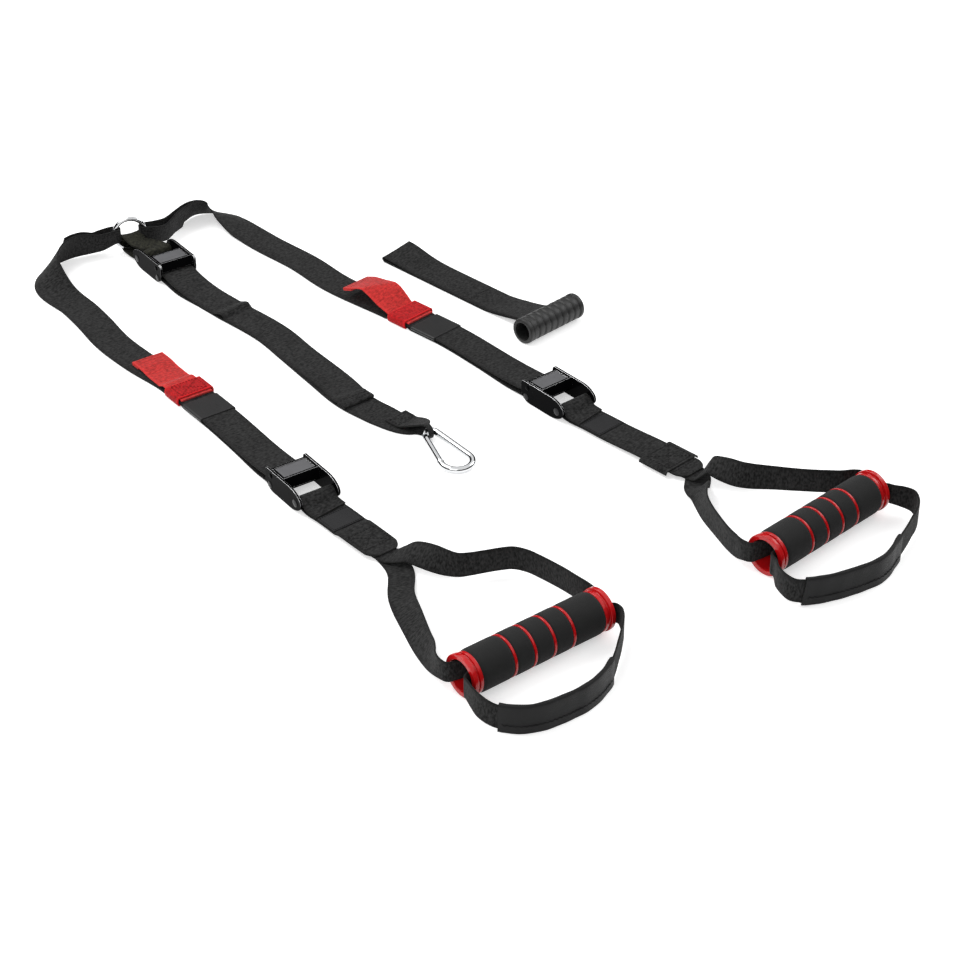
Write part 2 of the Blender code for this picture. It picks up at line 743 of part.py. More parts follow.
def loop_rows(matrix, half_width, low, high, corner):
    """A closed loop across a strap, from its bottom up one side and over the top."""
    rows = []
    for centre_y, centre_z, start in ((half_width - corner, low + corner, -90),
                                      (half_width - corner, high - corner, 0),
                                      (corner - half_width, high - corner, 90),
                                      (corner - half_width, low + corner, 180)):
        for y, z in arc(centre_y, centre_z, corner, start, start + 90, 2):
            rows.append((0.0, y, z, 0.0, KEEPER_LENGTH))
    return rows


def loop_mesh(matrix, length, half_width, low, high, corner, thick):
    """A webbing loop round a strap: a closed band whose width runs along the strap."""
    rows = [(x, y, z, tilt, length)
            for x, y, z, tilt, _ in loop_rows(matrix, half_width, low, high, corner)]
    return band_mesh(local_rows(matrix, rows), thick, closed=True, pitch=WEBBING_WIDTH)


def ring_mesh():
    points = []
    for step in range(24):
        turn = math.tau * step / 24
        points.append(RING_CENTRE + RING_SIDE * RING_RADIUS * math.cos(turn)
                      + Vector((0, 0, RING_RADIUS * math.sin(turn))))
    return rod_mesh(points, RING_WIRE, 2, closed=True)


def ring_turn_radius():
    return RING_WIRE + RING_SLACK + FLAT


def anchor_loop_rows(matrix):
    """The closed sling from the ring's foot to the anchor buckle's webbing bar."""
    radius = ring_turn_radius()
    ring = spot(0, 0, 0, ANCHOR_LOOP_YAW)
    out = WEBBING_BAR_AT[0] + 0.13 * BUCKLE_LENGTH
    middle = 0.42 * ANCHOR_BAR_REACH
    wide = 0.85 * WEBBING_WIDTH
    narrow = 0.45 * WEBBING_WIDTH
    rows = bar_turn(matrix, WEBBING_BAR_AT, BAR_TURN, -90, -270, 0, WEBBING_WIDTH)
    rows += local_rows(matrix, [(out, 0, 2.4 * radius, 0, wide)])
    rows += [(middle, 0, 2.2 * radius, 0, narrow)]
    rows += bar_turn(ring, (0, radius + FLAT), radius, 90, 270, 0, ANCHOR_BUNCH)
    rows += [(middle, 0, 0.4 * radius, 0, narrow)]
    rows += local_rows(matrix, [(out, 0, 0.9 * radius, 0, wide)])
    return rows


def ring_wrap_rows(outward, first):
    """An arm's webbing on edge round one side of the ring."""
    centre = RING_CENTRE + outward * (RING_RADIUS - RING_SLACK / 2)
    rows = []
    for angle in np.linspace(-90, 90, 7):
        turn = math.radians(angle)
        place = (centre - outward * ring_turn_radius() * math.cos(turn)
                 + RING_FRONT * first * ring_turn_radius() * math.sin(turn))
        rows.append((*place, 90.0, RING_BUNCH))
    return rows


class Arm:
    """Places that one arm's strap, buckle, tab, keeper and wrap share."""

    def __init__(self, side):
        left = side == "left"
        self.side = side
        self.hand = -1 if left else 1
        self.reach = LEFT_REACH if left else RIGHT_REACH
        self.spread = self.hand * (LEFT_SPREAD if left else RIGHT_SPREAD)
        self.yaw = LEFT_BUCKLE_YAW if left else RIGHT_BUCKLE_YAW
        self.tilt = 0.0 if left else 180.0
        self.shares = LEFT_ARM_SHARES if left else RIGHT_ARM_SHARES
        self.end_shares = LEFT_ARM_END_SHARES if left else RIGHT_ARM_END_SHARES
        keeper_side = LEFT_KEEPER_SIDE_SHARE if left else RIGHT_KEEPER_SIDE_SHARE
        self.hump = 0.0 if left else RIGHT_TAB_HUMP
        self.buckle = spot(self.reach, self.spread, 0, self.yaw)
        along = (self.end_shares[0][0] - KEEPER_PLACE_SHARE) * self.reach
        aside = (self.end_shares[0][1] - keeper_side) * self.spread
        self.keeper = spot(KEEPER_PLACE_SHARE * self.reach, keeper_side * self.spread, 0,
                           math.degrees(math.atan2(aside, along)))
        self.wrap_start = KEEPER_LENGTH / 2 + 0.3 * KEEPER_LENGTH
        self.raised = KEEPER_THICK + GAP + FLAT

    def keeper_row(self, x, z):
        return local_rows(self.keeper, [(x, 0, z, self.tilt, WEBBING_WIDTH)])[0]

    def main_rows(self):
        """From the ring to the buckle, over the keeper's lower side."""
        half = KEEPER_LENGTH / 2
        step = KEEPER_LENGTH / 4
        rows = floor_rows(self.shares, self.reach, self.spread)
        rows += [self.keeper_row(x, z) for x, z in
                 ((-half - step, FLAT), (-half, self.raised), (half, self.raised),
                  (half + step, FLAT), (self.wrap_start + step, FLAT))]
        rows += floor_rows(self.end_shares, self.reach, self.spread)
        return rows

    def tail_rows(self):
        """From the buckle back to its end in the keeper, over the strap."""
        half = KEEPER_LENGTH / 2
        high = self.raised + WEBBING_THICK + GAP
        rows = [(x, y, TAIL_HEIGHT, tilt, width) for x, y, _, tilt, width
                in reversed(floor_rows(self.end_shares, self.reach, self.spread))]
        rows += [self.keeper_row(self.wrap_start + KEEPER_LENGTH / 4, TAIL_HEIGHT),
                 self.keeper_row(half + KEEPER_LENGTH / 4, TAIL_HEIGHT)]
        rows += [self.keeper_row(half, high), self.keeper_row(KEEPER_THICK - half, high)]
        return rows

    def strap_rows(self):
        outward = RING_SIDE * self.hand
        first = 1 if self.hand < 0 else -1
        wrap = ring_wrap_rows(outward, first)
        main = self.main_rows()
        lead = wrap[-1:] + main
        offset = WEBBING_THICK + 3 * STITCH_GAP
        lap = [lapped(lead, ARM_LAP, offset), lapped(lead, ARM_LAP - ARM_LAP_LENGTH / 2, offset),
               lapped(lead, ARM_LAP - ARM_LAP_LENGTH, offset),
               lapped(lead, ARM_LAP / 2.4, ARM_LAP_SAG, -ARM_LAP_SAG / 3)]
        return lap + wrap + main + lip_rows(self.buckle, self.tilt) + self.tail_rows()

    def tab_rows(self):
        """The pull tab over the tail's end, down onto the strap, with its hem."""
        half = KEEPER_LENGTH / 2
        high = self.raised + 2 * (WEBBING_THICK + GAP)
        low = WEBBING_THICK + GAP + TAB_THICK / 2
        hem_top = low + TAB_THICK + GAP
        end = half + 0.12 * KEEPER_LENGTH - TAB_LENGTH
        rows = [(half + 0.12 * KEEPER_LENGTH, high), (-1.2 * half, high),
                (-0.8 * KEEPER_LENGTH, high + 0.5 * self.hump)]
        if self.hump:
            rows += [(-1.1 * KEEPER_LENGTH, high + self.hump),
                     (-1.9 * KEEPER_LENGTH, high + 0.45 * self.hump),
                     (-2.5 * KEEPER_LENGTH, hem_top + 0.12 * self.hump)]
        else:
            rows += [(-1.2 * KEEPER_LENGTH, low + GAP), (-1.9 * KEEPER_LENGTH, low + GAP)]
        rows.append((end + HEM_LENGTH * 1.3, hem_top))
        narrow = WEBBING_WIDTH - TAB_THICK
        made = local_rows(self.keeper, [(x, 0, z, 0, narrow) for x, z in rows])
        return made + hem_rows(self.keeper, end, hem_top, 0, -1, narrow, TAB_THICK)

    def keeper_top(self):
        return self.raised + 2 * (WEBBING_THICK + GAP) + TAB_THICK / 2 + GAP + KEEPER_THICK / 2


def add_arm(arm, meshes, paints):
    """Strap, tail wrap, pull tab, keeper and buckle of one arm, hung from the ring."""
    side = arm.side
    outward = RING_CENTRE + RING_SIDE * arm.hand * RING_RADIUS
    body = f"{side}_arm_axis"
    add_frame(body, Matrix.Translation(outward))
    add_object(f"{side}_arm_strap", band_mesh(arm.strap_rows(), WEBBING_THICK),
               paints["webbing"], body)
    add_object(f"{side}_pull_tab", band_mesh(arm.tab_rows(), TAB_THICK), paints["red_webbing"], body)
    half = WEBBING_WIDTH / 2 + KEEPER_SIDE_PLAY + KEEPER_THICK / 2
    add_object(f"{side}_keeper", loop_mesh(arm.keeper, KEEPER_LENGTH, half, KEEPER_THICK / 2,
                                           arm.keeper_top(), KEEPER_THICK, KEEPER_THICK),
               paints["red_webbing"], body)
    rise = WEBBING_THICK / 2 + GAP + WRAP_THICK / 2
    place = arm.keeper @ Matrix.Translation((arm.wrap_start + WRAP_LENGTH / 2, 0, 0))
    add_object(f"{side}_tail_wrap",
               loop_mesh(place, WRAP_LENGTH, WEBBING_WIDTH / 2 + GAP + WRAP_THICK,
                         TAIL_HEIGHT - rise, TAIL_HEIGHT + rise, rise, WRAP_THICK),
               paints["webbing"], body)
    add_buckle(side, body, arm.buckle, meshes, paints)


def anchor_buckle_spot():
    bar = spot(ANCHOR_BAR_REACH, ANCHOR_BAR_SIDE, 0, ANCHOR_BUCKLE_YAW)
    return bar @ Matrix.Translation((-WEBBING_BAR_AT[0], 0, 0))


def hook_matrix():
    """The snap hook's own frame: its origin is the wire that the strap's eye holds."""
    height = FLAT + EYE_RADIUS
    length = HOOK_SMALL_RADIUS + HOOK_SPAN + HOOK_LARGE_RADIUS
    dip = math.asin((height - HOOK_WIRE) / length)
    return spot(HOOK_REACH, HOOK_SIDE, height, HOOK_YAW) @ Matrix.Rotation(dip, 4, "Y")


def anchor_strap_rows(matrix):
    """From the flap over the eye, round the hook's wire, to the buckle and back as a tail."""
    eye = spot(HOOK_REACH, HOOK_SIDE, 0, HOOK_YAW)
    over = FLAT + WEBBING_THICK + GAP
    rows = local_rows(eye, [(-EYE_FLAP, 0, over, 0, 0.80 * WEBBING_WIDTH),
                            (-0.70 * EYE_FLAP, 0, over, 0, 0.66 * WEBBING_WIDTH),
                            (-0.30 * EYE_FLAP, 0, over + 0.9 * EYE_RADIUS, 0, 1.6 * EYE_WIDTH)])
    rows += bar_turn(eye, (0, FLAT + EYE_RADIUS), EYE_RADIUS, 90, -90, 0, EYE_WIDTH)
    rows += local_rows(eye, [(-0.30 * EYE_FLAP, 0, FLAT, 0, 1.6 * EYE_WIDTH)])
    main = floor_rows(ANCHOR_STRAP_SHARES, HOOK_REACH, HOOK_SIDE)
    rows += reversed(main)
    rows += lip_rows(matrix, 0)
    for x, y, _, tilt, width in main[:6]:
        crease = ANCHOR_CREASE_HEIGHT if (x, y) == main[2][:2] else 0.0
        rows.append((x, y, over + crease, tilt, width))
    x, y, _, tilt, width = main[7]
    x_end = x + HEM_LENGTH
    end = spot(x_end, main[7][1], 0, 0)
    top = over + WEBBING_THICK + GAP
    rows += local_rows(end, [(-2 * HEM_LENGTH, HEM_LENGTH / 6, over, 0, width),
                             (-1.2 * HEM_LENGTH, 0, top, 0, width)])
    rows += hem_rows(end, 0, top, 0, 1)
    return rows


def hook_lines():
    """Tangent points of the gate's line, its direction, and the angle of the spine."""
    lean = math.asin((HOOK_LARGE_RADIUS - HOOK_SMALL_RADIUS) / HOOK_SPAN)
    small = Vector((HOOK_SMALL_RADIUS, 0, 0))
    large = Vector((HOOK_SMALL_RADIUS + HOOK_SPAN, 0, 0))
    out = Vector((-math.sin(lean), -math.cos(lean), 0))
    start = small + out * HOOK_SMALL_RADIUS
    end = large + out * HOOK_LARGE_RADIUS
    return start, end, (end - start).normalized(), 90 + math.degrees(lean)


def tongue_cutters(place, along, length):
    """Two boxes that leave a flat tongue in the hook's plane."""
    side = along.cross(Vector((0, 0, 1)))
    turn = Matrix((along, -side, Vector((0, 0, 1)))).transposed().to_4x4()
    frame = Matrix.Translation(place) @ turn
    reach = HOOK_WIRE + OVERRUN
    boxes = []
    for sign in (-1, 1):
        low, high = sorted((sign * HOOK_TONGUE / 2, sign * reach))
        boxes.append(moved(box_mesh((0, -reach, low), (length, reach, high)), frame))
    return boxes


def hook_meshes():
    """Body, gate, gate pin and gate spring, in the hook's frame."""
    start, end, along, spine = hook_lines()
    pin = start + along * 1.45 * HOOK_WIRE
    tongue_end = pin + along * 0.86 * HOOK_WIRE
    nose_length = 1.15 * HOOK_WIRE
    points = [end - along * nose_length, end - along * nose_length / 2]
    large = (HOOK_SMALL_RADIUS + HOOK_SPAN, 0)
    points += [Vector((x, y, 0)) for x, y in
               arc(*large, HOOK_LARGE_RADIUS, -spine, spine, 14)]
    points += [Vector((x, y, 0)) for x, y in
               arc(HOOK_SMALL_RADIUS, 0, HOOK_SMALL_RADIUS, spine, 360 - spine, 10)]
    points += [start + along * HOOK_WIRE * 0.7, tongue_end]
    body = rod_mesh(points, HOOK_WIRE, 2)
    hole_radius = HOOK_PIN_RADIUS + GAP
    hole = turned_mesh(((0, 2 * HOOK_WIRE), (hole_radius, 2 * HOOK_WIRE),
                        (hole_radius, -2 * HOOK_WIRE), (0, -2 * HOOK_WIRE)), 10, False)
    moved(hole, Matrix.Translation(pin))
    cutters = tongue_cutters(start + along * 0.05 * HOOK_WIRE, along, 4 * HOOK_WIRE)
    cutters += tongue_cutters(end - along * 2 * HOOK_WIRE, along, 2 * HOOK_WIRE)
    body = combine(body, cutters + [hole.copy()], "DIFFERENCE")
    gate_radius = HOOK_WIRE - GAP
    gate_start = pin - along * 0.92 * HOOK_WIRE
    gate_end = end - along * 0.17 * HOOK_WIRE
    gate = rod_mesh([gate_start, (gate_start + gate_end) / 2, gate_end], gate_radius, 2)
    turn = Matrix((along, Vector((0, 0, 1)).cross(along), Vector((0, 0, 1)))).transposed().to_4x4()
    slot = HOOK_TONGUE / 2 + GAP
    wide = HOOK_WIRE + OVERRUN
    fork = moved(box_mesh((-2 * HOOK_WIRE, -wide, -slot), (1.45 * HOOK_WIRE, wide, slot)),
                 Matrix.Translation(pin) @ turn)
    notch = moved(box_mesh((-nose_length - 2 * GAP, -wide, -slot), (HOOK_WIRE, wide, slot)),
                  Matrix.Translation(end) @ turn)
    pitch = 2 * HOOK_SPRING_WIRE + GAP
    coil_radius = slot - HOOK_SPRING_WIRE / 2 - GAP / 3
    coil_length = pitch * HOOK_SPRING_TURNS
    coil_start = 1.26 * HOOK_WIRE + HOOK_SPRING_WIRE
    bore_radius = coil_radius + HOOK_SPRING_WIRE / 2 + GAP
    bore = turned_mesh(((0, coil_start + coil_length + HOOK_SPRING_WIRE),
                        (bore_radius, coil_start + coil_length + HOOK_SPRING_WIRE),
                        (bore_radius, HOOK_WIRE), (0, HOOK_WIRE)), 10, False)
    aim = Matrix.Translation(pin) @ turn @ Matrix.Rotation(math.radians(90), 4, "Y")
    gate = combine(gate, [fork, notch, moved(bore, aim), hole], "DIFFERENCE")
    half = gate_radius - GAP
    peg = turned_mesh(((0, half), (HOOK_PIN_RADIUS, half), (HOOK_PIN_RADIUS, -half), (0, -half)),
                      10, False)
    coil = []
    count = 8 * HOOK_SPRING_TURNS
    for step in range(count + 1):
        angle = math.tau * step / 8
        coil.append((coil_radius * math.cos(angle), coil_radius * math.sin(angle),
                     coil_start + coil_length * step / count))
    print("least gap in the gate spring, m:", round(least_gap(coil, HOOK_SPRING_WIRE, 5), 6))
    spring = moved(rod_mesh(coil, HOOK_SPRING_WIRE / 2, 1), aim)
    return body, gate, moved(peg, Matrix.Translation(pin)), spring, pin


def add_anchor(meshes, paints):
    """Ring, its sling, the anchor buckle and strap, and the snap hook."""
    add_object("anchor_ring", ring_mesh(), paints["chrome"], smooth=True)
    foot = RING_CENTRE - Vector((0, 0, RING_RADIUS))
    add_frame("anchor_loop_axis", Matrix.Translation(foot) @ Matrix.Rotation(
        math.radians(RING_YAW), 4, "Z"))
    buckle = anchor_buckle_spot()
    add_object("anchor_ring_loop", band_mesh(anchor_loop_rows(buckle), WEBBING_THICK, closed=True),
               paints["loop_webbing"], "anchor_loop_axis")
    bar = buckle @ Matrix.Translation((WEBBING_BAR_AT[0], 0, WEBBING_BAR_AT[1]))
    add_frame("anchor_buckle_axis", bar, "anchor_loop_axis")
    add_buckle("anchor", "anchor_buckle_axis", buckle, meshes, paints)
    add_object("anchor_strap", band_mesh(anchor_strap_rows(buckle), WEBBING_THICK),
               paints["webbing"], "anchor_buckle_axis")
    hook = hook_matrix()
    body, gate, peg, spring, pin = hook_meshes()
    add_frame("carabiner_axis", hook, "anchor_buckle_axis")
    add_frame("carabiner_gate_axis", hook @ Matrix.Translation(pin), "carabiner_axis")
    add_object("carabiner_body", body, paints["chrome"], "carabiner_axis", hook, smooth=True)
    add_object("carabiner_gate_pin", peg, paints["chrome"], "carabiner_axis", hook, smooth=True)
    add_object("carabiner_gate", gate, paints["chrome"], "carabiner_gate_axis", hook, smooth=True)
    add_object("carabiner_gate_spring", spring, paints["steel"], "carabiner_gate_axis", hook)


class Handle:
    """Places that one tether, grip and foot loop share."""

    def __init__(self, arm):
        left = arm.side == "left"
        self.side = arm.side
        bar = arm.buckle @ Vector((WEBBING_BAR_AT[0], 0, 0))
        self.bar = bar
        if left:
            grip = (LEFT_GRIP_REACH, -LEFT_GRIP_SPREAD, LEFT_GRIP_YAW)
            self.near, self.far = LEFT_NEAR_LEG_SHARES, LEFT_FAR_LEG_SHARES
            self.foot, self.length = LEFT_FOOT_SHARES, LEFT_TETHER_LENGTH
        else:
            grip = (RIGHT_GRIP_REACH, RIGHT_GRIP_SPREAD, RIGHT_GRIP_YAW)
            self.near, self.far = RIGHT_NEAR_LEG_SHARES, RIGHT_FAR_LEG_SHARES
            self.foot, self.length = RIGHT_FOOT_SHARES, RIGHT_TETHER_LENGTH
        self.grip = spot(grip[0], grip[1], 0, grip[2])
        self.yaw = math.degrees(math.atan2(grip[1] - bar.y, grip[0] - bar.x))
        self.tether = spot(bar.x, bar.y, 0, self.yaw)
        self.bar_spot = spot(bar.x, bar.y, 0, arm.yaw)
        self.reach = (self.grip.translation - self.tether @ Vector((self.length, 0, 0))).length
        self.half = GRIP_LENGTH / 2

    def tether_rows(self):
        """The sewn tether: its hem on top, round the buckle's bar and under to the split."""
        low = FLAT + 1.3 * WEBBING_THICK
        over = low + WEBBING_THICK + GAP
        stacked = FLAT + 2 * (WEBBING_THICK + GAP)
        centre = WEBBING_BAR_AT[1]
        sewn = self.length - SEWN_LENGTH
        near = 0.2 * BUCKLE_LENGTH
        rows = local_rows(self.tether, [(TETHER_HEM, 0, over, 0, WEBBING_WIDTH)])
        rows += local_rows(self.bar_spot, [(near, 0, over + 0.4 * BAR_TURN, 0, WEBBING_WIDTH)])
        rows += bar_turn(self.bar_spot, (0, centre), BAR_TURN, 55, 270, 0, WEBBING_WIDTH)
        rows += local_rows(self.bar_spot, [(near, 0, low + 0.1 * BAR_TURN, 0, WEBBING_WIDTH)])
        rest = [(TETHER_HEM, low, 1.0),
                (TETHER_HEM + LABEL_LENGTH, low, 1.0), (sewn - HEM_LENGTH / 2, stacked, 1.0),
                (self.length - HEM_LENGTH, stacked, 0.98), (self.length - HEM_LENGTH / 3, stacked, 0.8),
                (self.length, stacked, 0.55)]
        return rows + local_rows(self.tether, [(x, 0, z, 0, WEBBING_WIDTH * share)
                                               for x, z, share in rest])

    def shared_rows(self, shares, reach, width, rest_width):
        rows = []
        for along_share, side_share, rise_share, tilt in shares:
            low = rest_height(tilt, rest_width)
            rows.append((along_share * reach, side_share * self.half,
                         low + rise_share * (AXIS_HEIGHT - low), tilt, width))
        return rows

    def rim_turn(self, side, end, inward):
        """Webbing on edge round a rim of the bore: side is -1 for legs, 1 for the foot loop."""
        middle_x = side * (BORE_CHORD + RIM_BEND)
        middle_y = end * (self.half + GAP)
        outer = 90 * end
        inner = 180 if side > 0 else 0
        if outer < 0 and inner == 180:
            inner = -180
        angles = (outer, inner) if inward else (inner, outer)
        return [(x, y, AXIS_HEIGHT, 90.0, BORE_BAND_WIDTH)
                for x, y in arc(middle_x, middle_y, RIM_BEND, *angles, 4)]

    def bore_rows(self, side):
        """Two rows that keep the webbing straight inside the bore."""
        inner = self.half - RIM_BEND
        return [(side * BORE_CHORD, y, AXIS_HEIGHT, 90.0, BORE_BAND_WIDTH) for y in (-inner, inner)]

    def leg_rows(self):
        """From the sewn part along the near leg, through the grip and back on the far leg."""
        over = FLAT + WEBBING_THICK + GAP
        sewn = self.length - SEWN_LENGTH
        split = self.length + HEM_LENGTH / 4
        near = local_rows(self.tether, [(sewn, 0, FLAT, 0, NARROW_WIDTH),
                                        (split, 0, FLAT, 0, NARROW_WIDTH)])
        far = local_rows(self.tether, [(split, 0, over, 180, NARROW_WIDTH),
                                       (sewn, 0, over, 180, NARROW_WIDTH)])
        rows = list(reversed(self.shared_rows(self.near, self.reach, NARROW_WIDTH, NARROW_WIDTH)))
        rows += self.rim_turn(-1, -1, True) + self.bore_rows(-1)
        rows += self.rim_turn(-1, 1, False)
        rows += [(x, y, z, 180 - tilt, width) for x, y, z, tilt, width
                 in self.shared_rows(self.far, self.reach, NARROW_WIDTH, NARROW_WIDTH)]
        return near + local_rows(self.grip, rows) + far

    def foot_rows(self):
        """The closed foot loop through the grip's bore."""
        loop = self.shared_rows(self.foot, FOOT_DEPTH, NARROW_WIDTH, SLEEVE_WIDTH)
        start, end = self.bore_rows(1)
        rows = [start] + self.rim_turn(1, -1, False) + loop + self.rim_turn(1, 1, True) + [end]
        return local_rows(self.grip, rows)

    def sleeve_rows(self):
        """The stretch of the foot loop that the sleeve covers."""
        fine = refine(self.foot_rows())
        local = self.grip.inverted()
        depth = SLEEVE_DEPTH_SHARE * FOOT_DEPTH
        side = SLEEVE_SIDE_SHARE * self.half
        last = SLEEVE_ROUTE_SHARE * len(fine)
        picked = []
        for index, row in enumerate(fine):
            place = local @ Vector(row[:3])
            if place.x > depth and place.y < side and index < last:
                picked.append((*row[:4], SLEEVE_WIDTH))
        return picked


def sleeve_profile(width):
    """Section of a sleeve folded over webbing that stands on edge, open at the bottom."""
    out = FLAT + GAP + SLEEVE_THICK / 2
    top = width / 2
    return ((-top, -out), (top - out / 2, -out), (top, -out / 3), (top, out / 3),
            (top - out / 2, out), (-top, out))


def patch_profile(width):
    """Section of a patch whose edges hang down beside the tether."""
    drop = 2 * WEBBING_THICK
    side = width / 2
    shoulder = WEBBING_WIDTH / 2 + PATCH_THICK
    return ((-side, -drop), (-side + PATCH_THICK / 2, -drop / 3), (-shoulder, 0.0),
            (shoulder, 0.0), (side - PATCH_THICK / 2, -drop / 3), (side, -drop))


def core_mesh():
    """The moulded grip core: flanges, end ridges, four ribs and a bore right through."""
    half = GRIP_LENGTH / 2
    groove = GRIP_RADIUS - GROOVE_DEPTH
    ridge = GRIP_RADIUS - RIDGE_DROP
    soft = 0.25 * FLANGE_THICK
    profile = [(GRIP_BORE + soft, half), (GRIP_RADIUS - soft, half), (GRIP_RADIUS, half - soft)]
    at = half - FLANGE_THICK
    profile += [(GRIP_RADIUS, at), (groove, at)]
    at -= GROOVE_WIDTH
    profile += [(groove, at), (ridge, at)]
    at -= RIDGE_WIDTH
    profile += [(ridge, at), (FOAM_SEAT, at)]
    room = 2 * at - 4 * RIB_WIDTH
    for share in FOAM_LENGTH_SHARES[:2]:
        at -= share * room
        profile += [(FOAM_SEAT, at), (FOAM_RADIUS, at), (FOAM_RADIUS, at - RIB_WIDTH),
                    (FOAM_SEAT, at - RIB_WIDTH)]
        at -= RIB_WIDTH
    profile += [(radius, -height) for radius, height in reversed(profile)]
    profile += [(GRIP_BORE, soft - half), (GRIP_BORE, half - soft)]
    return moved(turned_mesh(profile, 20, True), ALONG_Y)


def foam_mesh(length):
    """One foam sleeve with rounded edges."""
    half = length / 2 - GAP
    soft = 0.22 * (FOAM_RADIUS - FOAM_SEAT)
    inner = FOAM_SEAT + GAP
    profile = ((inner, half), (FOAM_RADIUS - soft, half), (FOAM_RADIUS, half - soft),
               (FOAM_RADIUS, soft - half), (FOAM_RADIUS - soft, -half), (inner, -half))
    return moved(turned_mesh(profile, 20, True), ALONG_Y)


def foam_places():
    """Length and middle of each foam sleeve along the grip."""
    room = GRIP_LENGTH - 2 * (FLANGE_THICK + GROOVE_WIDTH + RIDGE_WIDTH) - 4 * RIB_WIDTH
    at = FLANGE_THICK + GROOVE_WIDTH + RIDGE_WIDTH - GRIP_LENGTH / 2
    places = []
    for share in FOAM_LENGTH_SHARES:
        places.append((share * room, at + share * room / 2))
        at += share * room + RIB_WIDTH
    return places


def add_handle(handle, core, foams, paints):
    """Tether, label, legs, grip, foot loop and sleeve of one handle."""
    side = handle.side
    body = f"{side}_handle_axis"
    add_frame(body, handle.bar_spot @ Matrix.Translation((0, 0, WEBBING_BAR_AT[1])),
              f"{side}_arm_axis")
    add_object(f"{side}_handle_tether", band_mesh(handle.tether_rows(), WEBBING_THICK),
               paints["webbing"], body)
    low = FLAT + 1.3 * WEBBING_THICK
    label = low + FLAT + GAP + LABEL_THICK / 2
    edge = TETHER_HEM + 0.1 * LABEL_LENGTH
    narrow = WEBBING_WIDTH - 4 * LABEL_THICK
    rows = local_rows(handle.tether, [(edge, 0, label, 0, narrow),
                                      (edge + 0.87 * LABEL_LENGTH, 0, label, 0, narrow)])
    add_object(f"{side}_label_patch", band_mesh(rows, LABEL_THICK, pitch=LABEL_LENGTH),
               paints["label"], body)
    if side == "right":
        height = FLAT + 2 * (WEBBING_THICK + GAP) + FLAT + GAP + PATCH_THICK / 2
        start = handle.length - SEWN_LENGTH - HEM_LENGTH / 3
        rows = local_rows(handle.tether, [(start - PATCH_LENGTH * 0.1, 0, height, 0, PATCH_WIDTH),
                                          (start + PATCH_LENGTH * 0.5, 0, height, 0, PATCH_WIDTH)])
        add_object("right_tether_wrap", band_mesh(rows, PATCH_THICK, profile=patch_profile),
                   paints["webbing"], body)
    add_object(f"{side}_handle_webbing", band_mesh(handle.leg_rows(), WEBBING_THICK),
               paints["webbing"], body)
    axis = handle.grip @ Matrix.Translation((0, 0, AXIS_HEIGHT))
    add_frame(f"{side}_grip_axis", axis, body)
    add_object(f"{side}_grip_core", core, paints["red_plastic"], f"{side}_grip_axis", axis, smooth=True)
    for number, (length, middle) in enumerate(foam_places(), 1):
        add_object(f"{side}_grip_foam_{number}", foams[round(length, 6)], paints["foam"],
                   f"{side}_grip_axis", axis @ Matrix.Translation((0, middle, 0)), smooth=True)
    add_frame(f"{side}_foot_axis", axis, body)
    add_object(f"{side}_foot_webbing", band_mesh(handle.foot_rows(), WEBBING_THICK, closed=True),
               paints["webbing"], f"{side}_foot_axis")
    add_object(f"{side}_foot_sleeve",
               band_mesh(handle.sleeve_rows(), SLEEVE_THICK, profile=sleeve_profile, pitch=1.0),
               paints["sleeve"], f"{side}_foot_axis")


def door_strap_rows(matrix):
    """The folded strap as one closed loop: under layer, round the dowel, over layer, fold."""
    length = DOOR_STRAP_LENGTH
    stack = WEBBING_THICK + GAP
    turn = DOOR_DOWEL_RADIUS + STITCH_GAP + FLAT
    under = [(share * length, FLAT + rise * DOOR_TUBE_RADIUS) for share, rise in DOOR_STRAP_SHARES]
    neck = 0.85 * DOOR_TUBE_RADIUS
    rows = [(-x, 0, z, 0, DOOR_STRAP_WIDTH) for x, z in reversed(under)]
    rows.append((-neck, 0, DOOR_TUBE_RADIUS - 1.1 * stack, 0, DOOR_STRAP_WIDTH))
    rows += [(x, 0, z, 0, DOOR_STRAP_WIDTH)
             for x, z in arc(0, DOOR_TUBE_RADIUS, turn, -90, 90, 6)]
    rows.append((-neck, 0, DOOR_TUBE_RADIUS + 1.1 * stack, 0, DOOR_STRAP_WIDTH))
    rows += [(-x, 0, z + stack, 0, DOOR_STRAP_WIDTH) for x, z in under]
    rows += [(x, 0, z, 0, DOOR_STRAP_WIDTH)
             for x, z in arc(stack / 2 - length, FLAT + stack / 2, stack / 2, 90, 270, 4)]
    return local_rows(matrix, rows)


